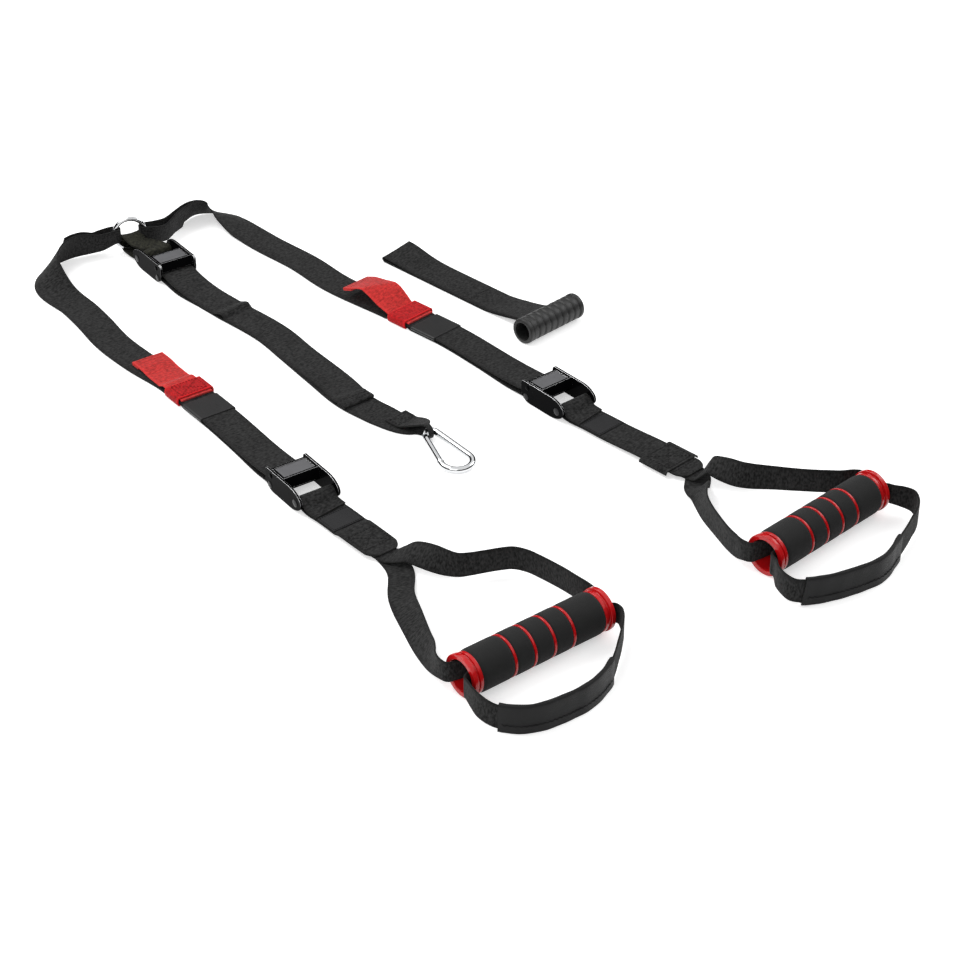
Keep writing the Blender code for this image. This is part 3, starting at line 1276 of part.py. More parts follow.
def door_tube_mesh():
    """The ribbed rubber tube with flanged rims, its bore, and the slot for the strap."""
    half = DOOR_TUBE_LENGTH / 2
    rim = 0.06 * DOOR_TUBE_LENGTH
    depth = 0.09 * DOOR_TUBE_RADIUS
    pitch = (2 * half - 2 * rim) / DOOR_TUBE_RIBS
    profile = [(DOOR_TUBE_BORE, half), (DOOR_TUBE_RADIUS - depth, half), (DOOR_TUBE_RADIUS, half - depth)]
    at = half - rim
    for _ in range(DOOR_TUBE_RIBS):
        profile += [(DOOR_TUBE_RADIUS - depth, at), (DOOR_TUBE_RADIUS - depth, at - 0.25 * pitch),
                    (DOOR_TUBE_RADIUS - 0.2 * depth, at - 0.45 * pitch),
                    (DOOR_TUBE_RADIUS - 0.2 * depth, at - 0.8 * pitch)]
        at -= pitch
    profile += [(DOOR_TUBE_RADIUS - depth, at), (DOOR_TUBE_RADIUS, depth - half),
                (DOOR_TUBE_RADIUS - depth, -half), (DOOR_TUBE_BORE, -half)]
    tube = moved(turned_mesh(profile, 16, True), ALONG_Y)
    wide = DOOR_STRAP_WIDTH / 2 + 3 * GAP
    slot = box_mesh((-DOOR_TUBE_RADIUS - OVERRUN, -wide, -DOOR_SLOT_HEIGHT / 2),
                    (-DOOR_TUBE_BORE / 3, wide, DOOR_SLOT_HEIGHT / 2))
    return combine(tube, [slot], "DIFFERENCE")


def add_door_anchor(paints):
    """The door anchor, which lies beside the right arm."""
    place = spot(DOOR_REACH, DOOR_SPREAD, 0, DOOR_YAW)
    axis = place @ Matrix.Translation((0, 0, DOOR_TUBE_RADIUS))
    add_frame("door_tube_axis", axis)
    add_object("door_anchor_webbing",
               band_mesh(door_strap_rows(place), WEBBING_THICK, closed=True), paints["webbing"])
    half = DOOR_DOWEL_LENGTH / 2
    soft = DOOR_DOWEL_RADIUS / 4
    dowel = turned_mesh(((0, half), (DOOR_DOWEL_RADIUS - soft, half), (DOOR_DOWEL_RADIUS, half - soft),
                         (DOOR_DOWEL_RADIUS, soft - half), (DOOR_DOWEL_RADIUS - soft, -half),
                         (0, -half)), 12, False)
    add_object("door_anchor_dowel", moved(dowel, ALONG_Y), paints["black"], matrix=axis, smooth=True)
    add_object("door_anchor_tube", door_tube_mesh(), paints["rubber"], "door_tube_axis", axis,
               smooth=True)


def make_paints():
    return {
        "webbing": new_material("black_webbing", (0.018, 0.018, 0.018), 0.85),
        "loop_webbing": new_material("olive_webbing", (0.022, 0.022, 0.016), 0.85),
        "red_webbing": new_material("red_webbing", (0.52, 0.02, 0.02), 0.8),
        "black": new_material("black_steel", (0.008, 0.008, 0.009), 0.25, 0.6),
        "steel": new_material("dark_steel", (0.05, 0.05, 0.05), 0.35, 1.0),
        "chrome": new_material("chrome", (0.75, 0.75, 0.75), 0.12, 1.0),
        "red_plastic": new_material("red_plastic", (0.60, 0.01, 0.01), 0.3),
        "foam": new_material("black_foam", (0.020, 0.020, 0.020), 0.95),
        "sleeve": new_material("sleeve_fabric", (0.014, 0.014, 0.014), 0.6),
        "label": new_material("black_label", (0.012, 0.012, 0.012), 0.5),
        "rubber": new_material("black_rubber", (0.012, 0.012, 0.012), 0.7),
    }


def stand_on_origin():
    """Shift the root so that the trainer's box is centred over the origin, on the floor."""
    bpy.context.view_layer.update()
    graph = bpy.context.evaluated_depsgraph_get()
    low, high = Vector((1e9, 1e9, 1e9)), Vector((-1e9, -1e9, -1e9))
    for item in bpy.data.collections[COLLECTION_NAME].objects:
        if item.type != "MESH":
            continue
        shown = item.evaluated_get(graph)
        for vert in shown.data.vertices:
            place = item.matrix_world @ vert.co
            low = Vector(map(min, low, place))
            high = Vector(map(max, high, place))
    EMPTIES["root"].location = (-(low.x + high.x) / 2, -(low.y + high.y) / 2, -low.z)
    bpy.context.view_layer.update()


def main():
    clear_scene()
    new_collection(COLLECTION_NAME)
    new_collection(CUTTER_COLLECTION)
    add_frame("root", Matrix.Identity(4))
    paints = make_paints()
    meshes = buckle_meshes()
    core = core_mesh()
    foams = {round(length, 6): foam_mesh(length) for length, _ in foam_places()}
    add_anchor(meshes, paints)
    for side in ("left", "right"):
        arm = Arm(side)
        add_arm(arm, meshes, paints)
        add_handle(Handle(arm), core, foams, paints)
    add_door_anchor(paints)
    stand_on_origin()


main()
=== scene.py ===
"""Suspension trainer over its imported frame, dressed for one studio view.

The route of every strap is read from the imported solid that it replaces, as a row of four
cornered sections. It is smoothed and swept again with rounded selvedges, and sewn with
single stitches. Buckles, bars, ring, hook, grips and the door tube are turned, swept or cut
from the trainer's own sizes. Lengths are metres.
"""
from __future__ import annotations

import itertools
import json
import logging
import math
from dataclasses import dataclass, field
from enum import Enum
from typing import Sequence

import bmesh
import bpy
import numpy as np
from mathutils import Matrix, Vector

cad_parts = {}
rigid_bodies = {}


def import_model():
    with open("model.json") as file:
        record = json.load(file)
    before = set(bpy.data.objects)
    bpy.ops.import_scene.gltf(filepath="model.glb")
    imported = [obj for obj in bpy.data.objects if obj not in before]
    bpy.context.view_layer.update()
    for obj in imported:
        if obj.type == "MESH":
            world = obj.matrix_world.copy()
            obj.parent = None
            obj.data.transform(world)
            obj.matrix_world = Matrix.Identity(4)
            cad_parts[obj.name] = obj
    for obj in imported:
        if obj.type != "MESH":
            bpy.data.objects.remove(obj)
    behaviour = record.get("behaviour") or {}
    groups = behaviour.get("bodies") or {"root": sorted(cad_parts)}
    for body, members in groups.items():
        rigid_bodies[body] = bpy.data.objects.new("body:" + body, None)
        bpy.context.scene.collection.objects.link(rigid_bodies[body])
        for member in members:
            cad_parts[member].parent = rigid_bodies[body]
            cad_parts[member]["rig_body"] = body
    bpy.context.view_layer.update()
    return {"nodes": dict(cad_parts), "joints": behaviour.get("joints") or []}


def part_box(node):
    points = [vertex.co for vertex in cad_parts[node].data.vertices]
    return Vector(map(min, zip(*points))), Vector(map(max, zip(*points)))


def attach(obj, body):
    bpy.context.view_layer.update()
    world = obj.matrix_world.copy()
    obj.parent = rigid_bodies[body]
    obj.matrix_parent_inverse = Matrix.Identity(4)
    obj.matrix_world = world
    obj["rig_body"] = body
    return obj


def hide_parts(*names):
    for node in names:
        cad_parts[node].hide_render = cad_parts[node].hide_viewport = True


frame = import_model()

LOG = logging.getLogger("suspension_trainer")
Array = np.ndarray
Color = tuple[float, float, float]
Item = bpy.types.Object
Material = bpy.types.Material
Mesh = bpy.types.Mesh
Place = Sequence[float]
Socket = bpy.types.NodeSocket
Stitches = tuple[Array, Array, Array]

UP = np.array((0.0, 0.0, 1.0))
GAP = 0.0003
"""Play between two pieces that fit together."""
STAND = Matrix.Rotation(math.radians(90), 4, "X")
"""Stands a plate up, so that its height runs along Z and its thickness along -Y."""
LAY = Matrix.Rotation(math.radians(-90), 4, "X")
"""Lays a turned piece down, so that its axis runs along Y."""
ROUND = 96
"""Steps round a wide turned piece."""


class Slot(Enum):
    """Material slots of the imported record."""

    WEBBING = "black_webbing"
    LOOP = "olive_webbing"
    RED_WEBBING = "red_webbing"
    SLEEVE = "sleeve_fabric"
    LABEL = "black_label"
    ENAMEL = "black_steel"
    STEEL = "dark_steel"
    CHROME = "chrome"
    RED_PLASTIC = "red_plastic"
    BLACK_PLASTIC = "black_plastic"
    FOAM = "black_foam"
    RUBBER = "black_rubber"


class Held(Enum):
    """How a strap lies."""

    LAID = "laid"
    FOLDED = "folded"


class Graph:
    """The nodes of a material or of the world, with short calls to add and join them."""

    def __init__(self, owner: Material | bpy.types.World, shader: str = "Principled BSDF") -> None:
        """Open the nodes.

        Args:
            owner: The new material or world.
            shader: Name of its shader node.
        """
        owner.use_nodes = True
        self.owner, self.tree = owner, owner.node_tree
        self.shader = self.tree.nodes[shader]

    def feed(self, target: Socket, source: object) -> None:
        """Link a socket to an input, or set the input's value; a colour may lack its alpha."""
        if isinstance(source, Socket):
            self.tree.links.new(source, target)
        elif source is not None:
            bare = target.type == "RGBA" and len(source) == 3
            target.default_value = (*source, 1.0) if bare else source

    def node(self, kind: str, *inputs: object, out: int | str = 0, **settings: object) -> Socket:
        """Add a node and give one of its outputs.

        Args:
            kind: Blender's name of the node, without "ShaderNode".
            inputs: A value or a socket for each input in order, None to leave one.
            out: The output that is given.
            settings: Properties of the node.

        Returns:
            The output socket.
        """
        made = self.tree.nodes.new(f"ShaderNode{kind}")
        for key, value in settings.items():
            setattr(made, key, value)
        for target, source in zip(made.inputs, inputs):
            self.feed(target, source)
        return made.outputs[out]

    def math(self, operation: str, *inputs: object) -> Socket:
        """Add a Math node and give its result."""
        return self.node("Math", *inputs, operation=operation)

    def add(self, value: object, weight: object, base: object) -> Socket:
        """A value times a weight, plus a base."""
        return self.math("MULTIPLY_ADD", value, weight, base)

    def wave(self, value: Socket, pitch: float) -> Socket:
        """The sine of a distance, one turn per pitch."""
        return self.math("SINE", self.math("MULTIPLY", value, math.tau / pitch))

    def noise(self, place: Socket, scale: float, detail: float = 3.0) -> Socket:
        """Noise from 0 to 1 at a place, with its scale in turns per metre."""
        return self.node("TexNoise", place, None, scale, detail)

    def drawn(self, along: Socket, across: Socket, squeeze: float, scale: float, detail: float,
              start: float = 0.0) -> Socket:
        """Noise from -0.5 to 0.5 that is drawn out across a strap.

        Args:
            along: Metres along the strap.
            across: Metres across it.
            squeeze: Factor on the second, less than 1 to draw the noise out.
            scale: Turns per metre along the strap.
            detail: Octaves of the noise.
            start: Where the noise is read on its third axis.

        Returns:
            The noise.
        """
        place = self.node("CombineXYZ", along, self.math("MULTIPLY", across, squeeze), start)
        return self.math("SUBTRACT", self.noise(place, scale, detail), 0.5)

    def place(self) -> Socket:
        """Object coordinates."""
        return self.node("TexCoord", out="Object")

    def cloth_place(self) -> tuple[Socket, Socket]:
        """The piece's own UV map: metres along the cloth and round it."""
        along = self.node("SeparateXYZ", self.node("UVMap", uv_map="cloth"))
        return along, along.node.outputs[1]

    def attribute(self, name: str) -> Socket:
        """A number stored on the mesh's vertices or faces."""
        return self.node("Attribute", out="Fac", attribute_name=name)

    def blend(self, share: object, dark: Color | Socket, light: Color | Socket) -> Socket:
        """Mix two colours by a share from 0 to 1."""
        unused = [None] * 5
        return self.node("Mix", share, *unused, dark, light, out=2, data_type="RGBA")

    def span(self, value: object, low: float, high: float) -> Socket:
        """Carry 0 to 1 over to a new span."""
        return self.node("MapRange", value, None, None, low, high)

    def seen(self) -> Socket:
        """1 for rays from the camera, and for gloss and glass; else 0."""
        camera = self.node("LightPath", out="Is Camera Ray")
        gloss, glass = (camera.node.outputs[f"Is {name} Ray"] for name in ("Glossy", "Transmission"))
        return self.math("MAXIMUM", self.math("MAXIMUM", camera, gloss), glass)

    def bump(self, height: Socket, distance: float, strength: float) -> None:
        """Raise the surface by a height from 0 to 1 times a distance."""
        self.set(Normal=self.node("Bump", strength, distance, None, height))

    def set(self, **values: object) -> None:
        """Set the shader's inputs by name, with _ for a space."""
        for key, value in values.items():
            self.feed(self.shader.inputs[key.replace("_", " ")], value)


@dataclass(frozen=True)
class Finish:
    """A procedural finish for one material slot."""

    slot: Slot
    color: Color

    def build(self) -> Material:
        """Make the material.

        Returns:
            The material, named for its slot, its kind and its red share.
        """
        kind = type(self).__name__.removesuffix("Finish").lower()
        g = Graph(bpy.data.materials.new(f"{self.slot.value}_{kind}_{round(self.color[0] * 1000)}"))
        self.lay(g)
        return g.owner

    def lay(self, g: Graph) -> None:
        """Lay out the nodes of this kind of finish."""
        raise NotImplementedError

    def tint(self, factor: float) -> Color:
        """The colour times a factor, at most 1."""
        red, green, blue = (min(1.0, channel * factor) for channel in self.color)
        return red, green, blue


@dataclass(frozen=True)
class WovenFinish(Finish):
    """Woven webbing: ribs across the strap in a zigzag, crossed by fine threads.

    The height is a sine of the distance along the strap, whose phase swings to and fro
    across it, plus a sine of the distance across it. Streaks and flecks are noise drawn out
    across the strap. The flecks are random tone that paints the glints of the weave into its
    colour, and the selvedges take painted shade on black straps and painted highlight on red ones.
    """

    rib_pitch: float = 0.0012
    thread_pitch: float = 0.0009
    zigzag: float = 0.0048
    contrast: float = 0.8
    relief: float = 0.00022
    sheen: float = 0.05
    # Tint of the selvedges: below 1 a painted shade, above 1 a painted highlight.
    edge: float = 0.45
    streaks: float = 1.3
    # Weight of the flecks: random tone that paints the weave's glints into the colour.
    glint_flecks: float = 2.6

    def lay(self, g: Graph) -> None:
        """Ribs and threads, with fuzz, wear, streaks, flecks as painted glints, and selvedges in painted
        shade or highlight.
        """
        along, across = g.cloth_place()
        phase = g.math("MULTIPLY", g.math("PINGPONG", across, self.zigzag), math.tau / self.zigzag)
        rib = g.math("SINE", g.add(along, math.tau / self.rib_pitch, phase))
        height = g.add(g.add(g.wave(across, self.thread_pitch), 0.35, rib), 0.37, 0.5)
        place = g.place()
        fuzz = g.noise(place, 1400.0, 2.0)
        wear = g.math("SUBTRACT", g.noise(place, 28.0), 0.5)
        streak = g.drawn(along, across, 0.14, 420.0, 2.0)
        # Flecks: random tone that paints the weave's glints into the colour.
        glint_fleck = g.drawn(along, across, 0.5, 520.0, 1.0, 5.0)
        tone = g.add(fuzz, 0.5, g.math("MULTIPLY", height, 0.5))
        for noise, weight in ((wear, 0.5), (streak, self.streaks), (glint_fleck, self.glint_flecks)):
            tone = g.add(noise, weight, tone)
        color = g.blend(tone, self.tint(1 - self.contrast), self.tint(1 + self.contrast))
        # Selvedges tinted by edge: painted shade on the black straps, painted highlight on the red ones.
        selvedge = g.math("MULTIPLY", g.attribute("selvedge"), 0.6)
        g.set(Base_Color=g.blend(selvedge, color, self.tint(self.edge)), Roughness=g.span(fuzz, 0.62, 0.86),
              Sheen_Weight=self.sheen, Sheen_Roughness=0.45, Specular_IOR_Level=0.12)
        g.bump(g.add(streak, 2.0, g.add(wear, 3.0, height)), self.relief, 0.8)


@dataclass(frozen=True)
class ClothFinish(Finish):
    """Smooth cloth with a fine thread and soft creases, for sleeves, labels and thread."""

    roughness: float = 0.6
    thread_pitch: float = 0.0005
    crease: float = 0.0004
    gloss: float = 0.2

    def lay(self, g: Graph) -> None:
        """A plain weave, the product of two sines, over soft noise."""
        warp, weft = (g.wave(way, self.thread_pitch) for way in g.cloth_place())
        height = g.add(g.math("MULTIPLY", warp, weft), 0.5, 0.5)
        soft = g.noise(g.place(), 90.0)
        tone = g.add(soft, 0.7, g.math("MULTIPLY", height, 0.3))
        g.set(Base_Color=g.blend(tone, self.tint(0.65), self.tint(1.4)),
              Roughness=g.span(soft, self.roughness - 0.08, self.roughness + 0.08),
              Sheen_Weight=0.04, Specular_IOR_Level=self.gloss)
        g.bump(g.add(soft, 4.0, height), self.crease / 5, 0.7)


@dataclass(frozen=True)
class PaintFinish(Finish):
    """Hard glossy coat with faint ripple, and rims of bare metal that carry a painted highlight.

    The piece's own rim attribute says where its upper edges are; a piece without it has none.
    There the coat gives way to bright bare metal, a painted highlight that keeps to edges facing up.
    """

    roughness: float = 0.22
    coat: float = 0.5
    rub: float = 0.15
    ripple: float = 0.00004
    grain: float = 260.0
    gloss: float = 0.35
    # The rim figure weighs, and bare colours, the bright metal on upper rims: a painted highlight.
    rim: float = 0.0
    bare: Color = (0.6, 0.6, 0.61)

    def lay(self, g: Graph) -> None:
        """Broad and fine noise under the coat, and the bare metal of the rims as a painted highlight."""
        place = g.place()
        broad, fine = g.noise(place, 70.0, 4.0), g.noise(place, self.grain * 4)
        color = g.blend(broad, self.tint(0.8), self.tint(1.25))
        if self.rim:
            # Bare metal on the upper rims: a painted highlight.
            metal = g.math("MULTIPLY", g.attribute("rim"), self.rim)
            color = g.blend(metal, color, self.bare)
            g.set(Metallic=metal)
        g.set(Base_Color=color, Roughness=g.add(fine, self.rub, self.roughness - self.rub / 2),
              Coat_Weight=self.coat, Coat_Roughness=0.12, Specular_IOR_Level=self.gloss)
        g.bump(g.add(fine, 0.3, broad), self.ripple, 0.6)


@dataclass(frozen=True)
class MetalFinish(Finish):
    """Plated or bare metal with fine polishing marks."""

    roughness: float = 0.12
    marks: float = 0.00002

    def lay(self, g: Graph) -> None:
        """Broad noise in the colour and fine noise in the polish."""
        place = g.place()
        broad, fine = g.noise(place, 55.0), g.noise(place, 1800.0, 2.0)
        g.set(Base_Color=g.blend(broad, self.tint(0.85), self.tint(1.1)),
              Roughness=g.span(fine, self.roughness * 0.6, self.roughness * 1.5), Metallic=1.0)
        g.bump(fine, self.marks, 0.5)


@dataclass(frozen=True)
class CellFinish(Finish):
    """Closed cell foam or moulded rubber: fine pits in a dull skin, paler on marked crests as a painted
    highlight.
    """

    roughness: float = 0.9
    pits: float = 2000.0
    depth: float = 0.0002
    crest_highlight: float = 0.0
    gloss: float = 0.3

    def lay(self, g: Graph) -> None:
        """Round cells over broad noise."""
        place = g.place()
        cells, broad = g.node("TexVoronoi", place, None, self.pits), g.noise(place, 45.0)
        tone = g.add(broad, 0.6, g.math("MULTIPLY", cells, 0.5))
        # Crests marked by the rim attribute are made paler: a painted highlight.
        if self.crest_highlight:
            tone = g.add(g.attribute("rim"), self.crest_highlight, tone)
        g.set(Base_Color=g.blend(tone, self.tint(0.6), self.tint(1.5 + 2 * self.crest_highlight)),
              Roughness=g.span(broad, self.roughness - 0.06, self.roughness + 0.05),
              Specular_IOR_Level=self.gloss, Sheen_Weight=0.04)
        g.bump(g.add(broad, 0.5, cells), self.depth, 0.7)


RED_WEAVE = {"rib_pitch": 0.0016, "thread_pitch": 0.0014, "zigzag": 0.0028, "contrast": 0.42,
             "relief": 0.0003, "streaks": 0.9, "glint_flecks": 2.0}
SEWING = {"thread_pitch": 0.0006, "crease": 0.0001, "gloss": 0.1}
FINISHES: dict[str, Finish] = {
    # A webbing's edge tints its selvedges: below 1 a painted shade, above 1 a painted highlight.
    "webbing": WovenFinish(Slot.WEBBING, (0.016, 0.016, 0.016)),
    "loop": WovenFinish(Slot.LOOP, (0.016, 0.016, 0.011)),
    "red_webbing": WovenFinish(Slot.RED_WEBBING, (0.45, 0.023, 0.021), sheen=0.12, edge=1.5, **RED_WEAVE),
    "red_fold": WovenFinish(Slot.RED_WEBBING, (0.38, 0.007, 0.009), sheen=0.06, edge=1.7, **RED_WEAVE),
    "sleeve": ClothFinish(Slot.SLEEVE, (0.009, 0.009, 0.0093), 0.5, gloss=0.15),
    "label": ClothFinish(Slot.LABEL, (0.013, 0.013, 0.014), 0.4, 0.0004, 0.0003),
    "wrap": ClothFinish(Slot.WEBBING, (0.009, 0.009, 0.0093), 0.36, 0.0008, 0.0003, 0.3),
    "thread": ClothFinish(Slot.WEBBING, (0.006, 0.006, 0.006), **SEWING),
    "red_thread": ClothFinish(Slot.RED_WEBBING, (0.20, 0.004, 0.005), **SEWING),
    # The enamel's rim figure paints a highlight of bare metal on the buckles' upper rims.
    "enamel": PaintFinish(Slot.ENAMEL, (0.002, 0.002, 0.0023), 0.14, 0.0, 0.05, gloss=0.015, rim=0.9),
    "panel": PaintFinish(Slot.ENAMEL, (0.10, 0.10, 0.105), 0.42, 0.0, 0.2, 0.00006, 500.0),
    "steel": MetalFinish(Slot.STEEL, (0.030, 0.030, 0.031), 0.3),
    "chrome": MetalFinish(Slot.CHROME, (0.66, 0.67, 0.68), 0.07),
    "red_plastic": PaintFinish(Slot.RED_PLASTIC, (0.50, 0.006, 0.008), 0.2, 0.25, 0.08, 0.00008, 300.0, 0.3),
    "black_plastic": PaintFinish(Slot.BLACK_PLASTIC, (0.010, 0.010, 0.010), 0.4, gloss=0.2),
    "foam": CellFinish(Slot.FOAM, (0.011, 0.011, 0.011), 0.92, 2200.0, 0.00025),
    # The rubber's 0.5 weighs the painted highlight on the tube's rib crests.
    "rubber": CellFinish(Slot.RUBBER, (0.007, 0.007, 0.007), 0.42, 1500.0, 0.00008, 0.5, 0.35),
}


def grid_faces(rows: int, columns: int, round_rows: bool, round_columns: bool) -> tuple[Array, Array, Array]:
    """Quads of a grid, corner by corner from row and column numbers.

    Args:
        rows: Number of rows of points.
        columns: Number of points in a row.
        round_rows: Whether the last row joins the first.
        round_columns: Whether the last column joins the first.

    Returns:
        The quads, and the row and the column number of each quad's first corner.
    """
    i, j = np.meshgrid(np.arange(rows if round_rows else rows - 1),
                       np.arange(columns if round_columns else columns - 1), indexing="ij")
    i, j = i.ravel(), j.ravel()
    after, beside = (i + 1) % rows, (j + 1) % columns
    quads = np.stack([i * columns + j, i * columns + beside, after * columns + beside,
                      after * columns + j], -1)
    return quads, i, j


def enclosed(points: Array, quads: Array) -> float:
    """Volume inside quads, from the sum of the triple products of their triangles."""
    a, b, c, d = (points[quads[:, k]] for k in range(4))
    return float((np.cross(b, c) * a).sum() + (np.cross(c, d) * a).sum()) / 6


def grid_mesh(name: str, grid: Array, round_rows: bool = False, round_columns: bool = True,
              lengths: tuple[Array, Array] | None = None, capped: bool = False,
              merged: bool = False) -> Mesh:
    """A mesh from a grid of points, turned so that its faces look outwards.

    Args:
        name: Name of the mesh.
        grid: Points, rows by columns by 3.
        round_rows: Whether the last row joins the first.
        round_columns: Whether the last column joins the first.
        lengths: Metres along for each row and round for each column, one more than each.
        capped: Whether the two ends are closed between mirrored points of a row.
        merged: Whether points that fall together are joined, as at poles.

    Returns:
        The mesh, with the UV map "cloth" where lengths are given.
    """
    rows, columns = grid.shape[:2]
    points = grid.reshape(-1, 3)
    quads, i, j = grid_faces(rows, columns, round_rows, round_columns)
    if lengths is not None:
        along, around = lengths
        uv = np.stack([np.stack([along[i], along[i], along[i + 1], along[i + 1]], -1),
                       np.stack([around[j], around[j + 1], around[j + 1], around[j]], -1)], -1)
    if capped:
        k = np.arange(columns // 2 - 1)
        first = np.stack([k, columns - 1 - k, columns - 2 - k, k + 1], -1)
        last = first[:, ::-1] + (rows - 1) * columns
        quads = np.concatenate([quads, first, last])
        if lengths is not None:
            ends = np.zeros((2 * len(k), 4, 2))
            ends[..., 0] = np.repeat([along[0], along[rows - 1]], len(k))[:, None]
            ends[..., 1] = around[np.concatenate([first, first[:, ::-1]])]
            uv = np.concatenate([uv, ends])
    if enclosed(points, quads) < 0:
        quads = quads[:, ::-1]
        if lengths is not None:
            uv = uv[:, ::-1]
    mesh = bpy.data.meshes.new(name)
    mesh.from_pydata(points.tolist(), [], quads.tolist())
    if lengths is not None:
        layer = mesh.uv_layers.new(name="cloth")
        layer.data.foreach_set("uv", np.ascontiguousarray(uv, dtype=np.float32).ravel())
    if merged:
        shell = bmesh.new()
        shell.from_mesh(mesh)
        bmesh.ops.remove_doubles(shell, verts=shell.verts, dist=1e-7)
        shell.to_mesh(mesh)
        shell.free()
    return mesh


def unit(vectors: Array) -> Array:
    """Vectors at length 1."""
    return vectors / np.maximum(np.linalg.norm(vectors, axis=-1, keepdims=True), 1e-12)


def northward(direction: Place) -> Array:
    """A direction at length 1, turned about if it points to -Y."""
    vector = unit(np.array(direction, dtype=float))
    return vector if vector[1] > 0 else -vector


def facing_up(vectors: Array) -> Array:
    """Vectors, each turned about if it points down."""
    return vectors * np.where(vectors[:, 2] > 0, 1, -1)[:, None]


def tangents(line: Array, closed: bool) -> Array:
    """Directions along a line of points."""
    return unit(np.roll(line, -1, 0) - np.roll(line, 1, 0) if closed else np.gradient(line, axis=0))


def squared(across: Array, along: Array) -> Array:
    """Crosswise directions at right angles to the directions along."""
    return unit(across - along * (along * across).sum(1)[:, None])


def distances(line: Array, closed: bool = False) -> Array:
    """Distance of each point of a line from its first, with the first again if it is closed."""
    line = np.concatenate([line, line[:1]]) if closed else line
    return np.concatenate([[0.0], np.cumsum(np.linalg.norm(np.diff(line, axis=0), axis=1))])


def eased(share: Array) -> Array:
    """A smooth step from 0 to 1: its square times 3 less 2 of it."""
    return share * share * (3 - 2 * share)


def points_of(mesh: Mesh) -> Array:
    """Places of a mesh's vertices."""
    flat = np.zeros(len(mesh.vertices) * 3, dtype=np.float32)
    mesh.vertices.foreach_get("co", flat)
    return flat.reshape(-1, 3)


def marked(mesh: Mesh, name: str, values: Array, domain: str = "POINT") -> Mesh:
    """Store a number on each point or face of a mesh, and give the mesh back."""
    marks = mesh.attributes.new(name, "FLOAT", domain)
    marks.data.foreach_set("value", values.astype(np.float32))
    return mesh


def put(mesh: Mesh, matrix: Matrix) -> Mesh:
    """Move a mesh's points by a matrix and give the mesh back."""
    mesh.transform(matrix)
    return mesh


def linked(name: str, data: bpy.types.ID) -> Item:
    """An object for a mesh, a lamp or a camera, in the scene."""
    item = bpy.data.objects.new(name, data)
    bpy.context.scene.collection.objects.link(item)
    return item


def settled(item: Item) -> Mesh:
    """The mesh of a working object with its modifiers applied; the object goes."""
    bpy.context.view_layer.update()
    graph = bpy.context.evaluated_depsgraph_get()
    mesh = bpy.data.meshes.new_from_object(item.evaluated_get(graph), depsgraph=graph)
    bpy.data.objects.remove(item, do_unlink=True)
    return mesh


def joined(mesh: Mesh, others: Sequence[Mesh], operation: str) -> Mesh:
    """Cut meshes from one, or unite them with it, by exact Booleans.

    Args:
        mesh: The mesh that is changed.
        others: The meshes that cut it or join it.
        operation: DIFFERENCE or UNION.

    Returns:
        The new mesh.
    """
    body = linked("work", mesh)
    tools = [linked("work", other) for other in others]
    for tool in tools:
        step = body.modifiers.new("step", "BOOLEAN")
        step.operation = operation
        step.object = tool
    result = settled(body)
    for tool in tools:
        bpy.data.objects.remove(tool, do_unlink=True)
    return result


def worked(mesh: Mesh, kind: str, **settings: object) -> Mesh:
    """A mesh with one modifier of a kind applied."""
    item = linked("work", mesh)
    step = item.modifiers.new("step", kind)
    for key, value in settings.items():
        setattr(step, key, value)
    return settled(item)


def softened(mesh: Mesh, width: float, segments: int = 3) -> Mesh:
    """A mesh with its sharp edges rounded off."""
    return worked(mesh, "BEVEL", width=width, segments=segments, limit_method="ANGLE",
                  angle_limit=math.radians(38), miter_outer="MITER_ARC", use_clamp_overlap=True)


def evened(mesh: Mesh) -> Mesh:
    """A smooth mesh whose wide flat faces keep their own normals up to their edges."""
    return worked(mesh, "WEIGHTED_NORMAL", weight=90, keep_sharp=True)


def slab(low: Place, high: Place) -> Mesh:
    """A block between two corners, from the eight sums of their sides."""
    low, high = np.array(low), np.array(high)
    corner = np.array([(x, y) for x, y in ((0, 0), (1, 0), (1, 1), (0, 1))])
    grid = np.array([[(*xy, z) for xy in corner] for z in (0, 1)], dtype=float)
    return grid_mesh("slab", low + grid * (high - low), capped=True)


def plate(outline: Array, half: float) -> Mesh:
    """A flat outline of points given a thickness both ways along Z.

    Args:
        outline: Points of the outline, K by 2, in order.
        half: Half of the thickness.

    Returns:
        The closed mesh, with one face on each flat side.
    """
    area = float(np.sum(outline[:, 0] * np.roll(outline[:, 1], -1)
                        - outline[:, 1] * np.roll(outline[:, 0], -1)))
    flat = outline if area > 0 else outline[::-1]
    count = len(flat)
    points = np.concatenate([np.c_[flat, np.full(count, -half)], np.c_[flat, np.full(count, half)]])
    k = np.arange(count)
    beside = (k + 1) % count
    sides = np.stack([k, beside, beside + count, k + count], -1).tolist()
    mesh = bpy.data.meshes.new("plate")
    mesh.from_pydata(points.tolist(), [], sides + [k[::-1].tolist(), (k + count).tolist()])
    return mesh


def turned(profile: Sequence[tuple[float, float]], steps: int, loop: bool = False) -> Mesh:
    """A profile of radius and height turned about Z.

    Args:
        profile: Radius and height of each point.
        steps: Steps round the axis.
        loop: Whether the profile closes on itself, as in a tube.

    Returns:
        The closed mesh; a radius of 0 makes a pole.
    """
    line = np.array(profile, dtype=float)
    turn = np.linspace(0, math.tau, steps, endpoint=False)
    grid = np.stack([line[:, 0] * np.cos(turn)[:, None], line[:, 0] * np.sin(turn)[:, None],
                     np.broadcast_to(line[:, 1], (steps, len(line)))], -1)
    return grid_mesh("turned", grid, True, loop, merged=True)


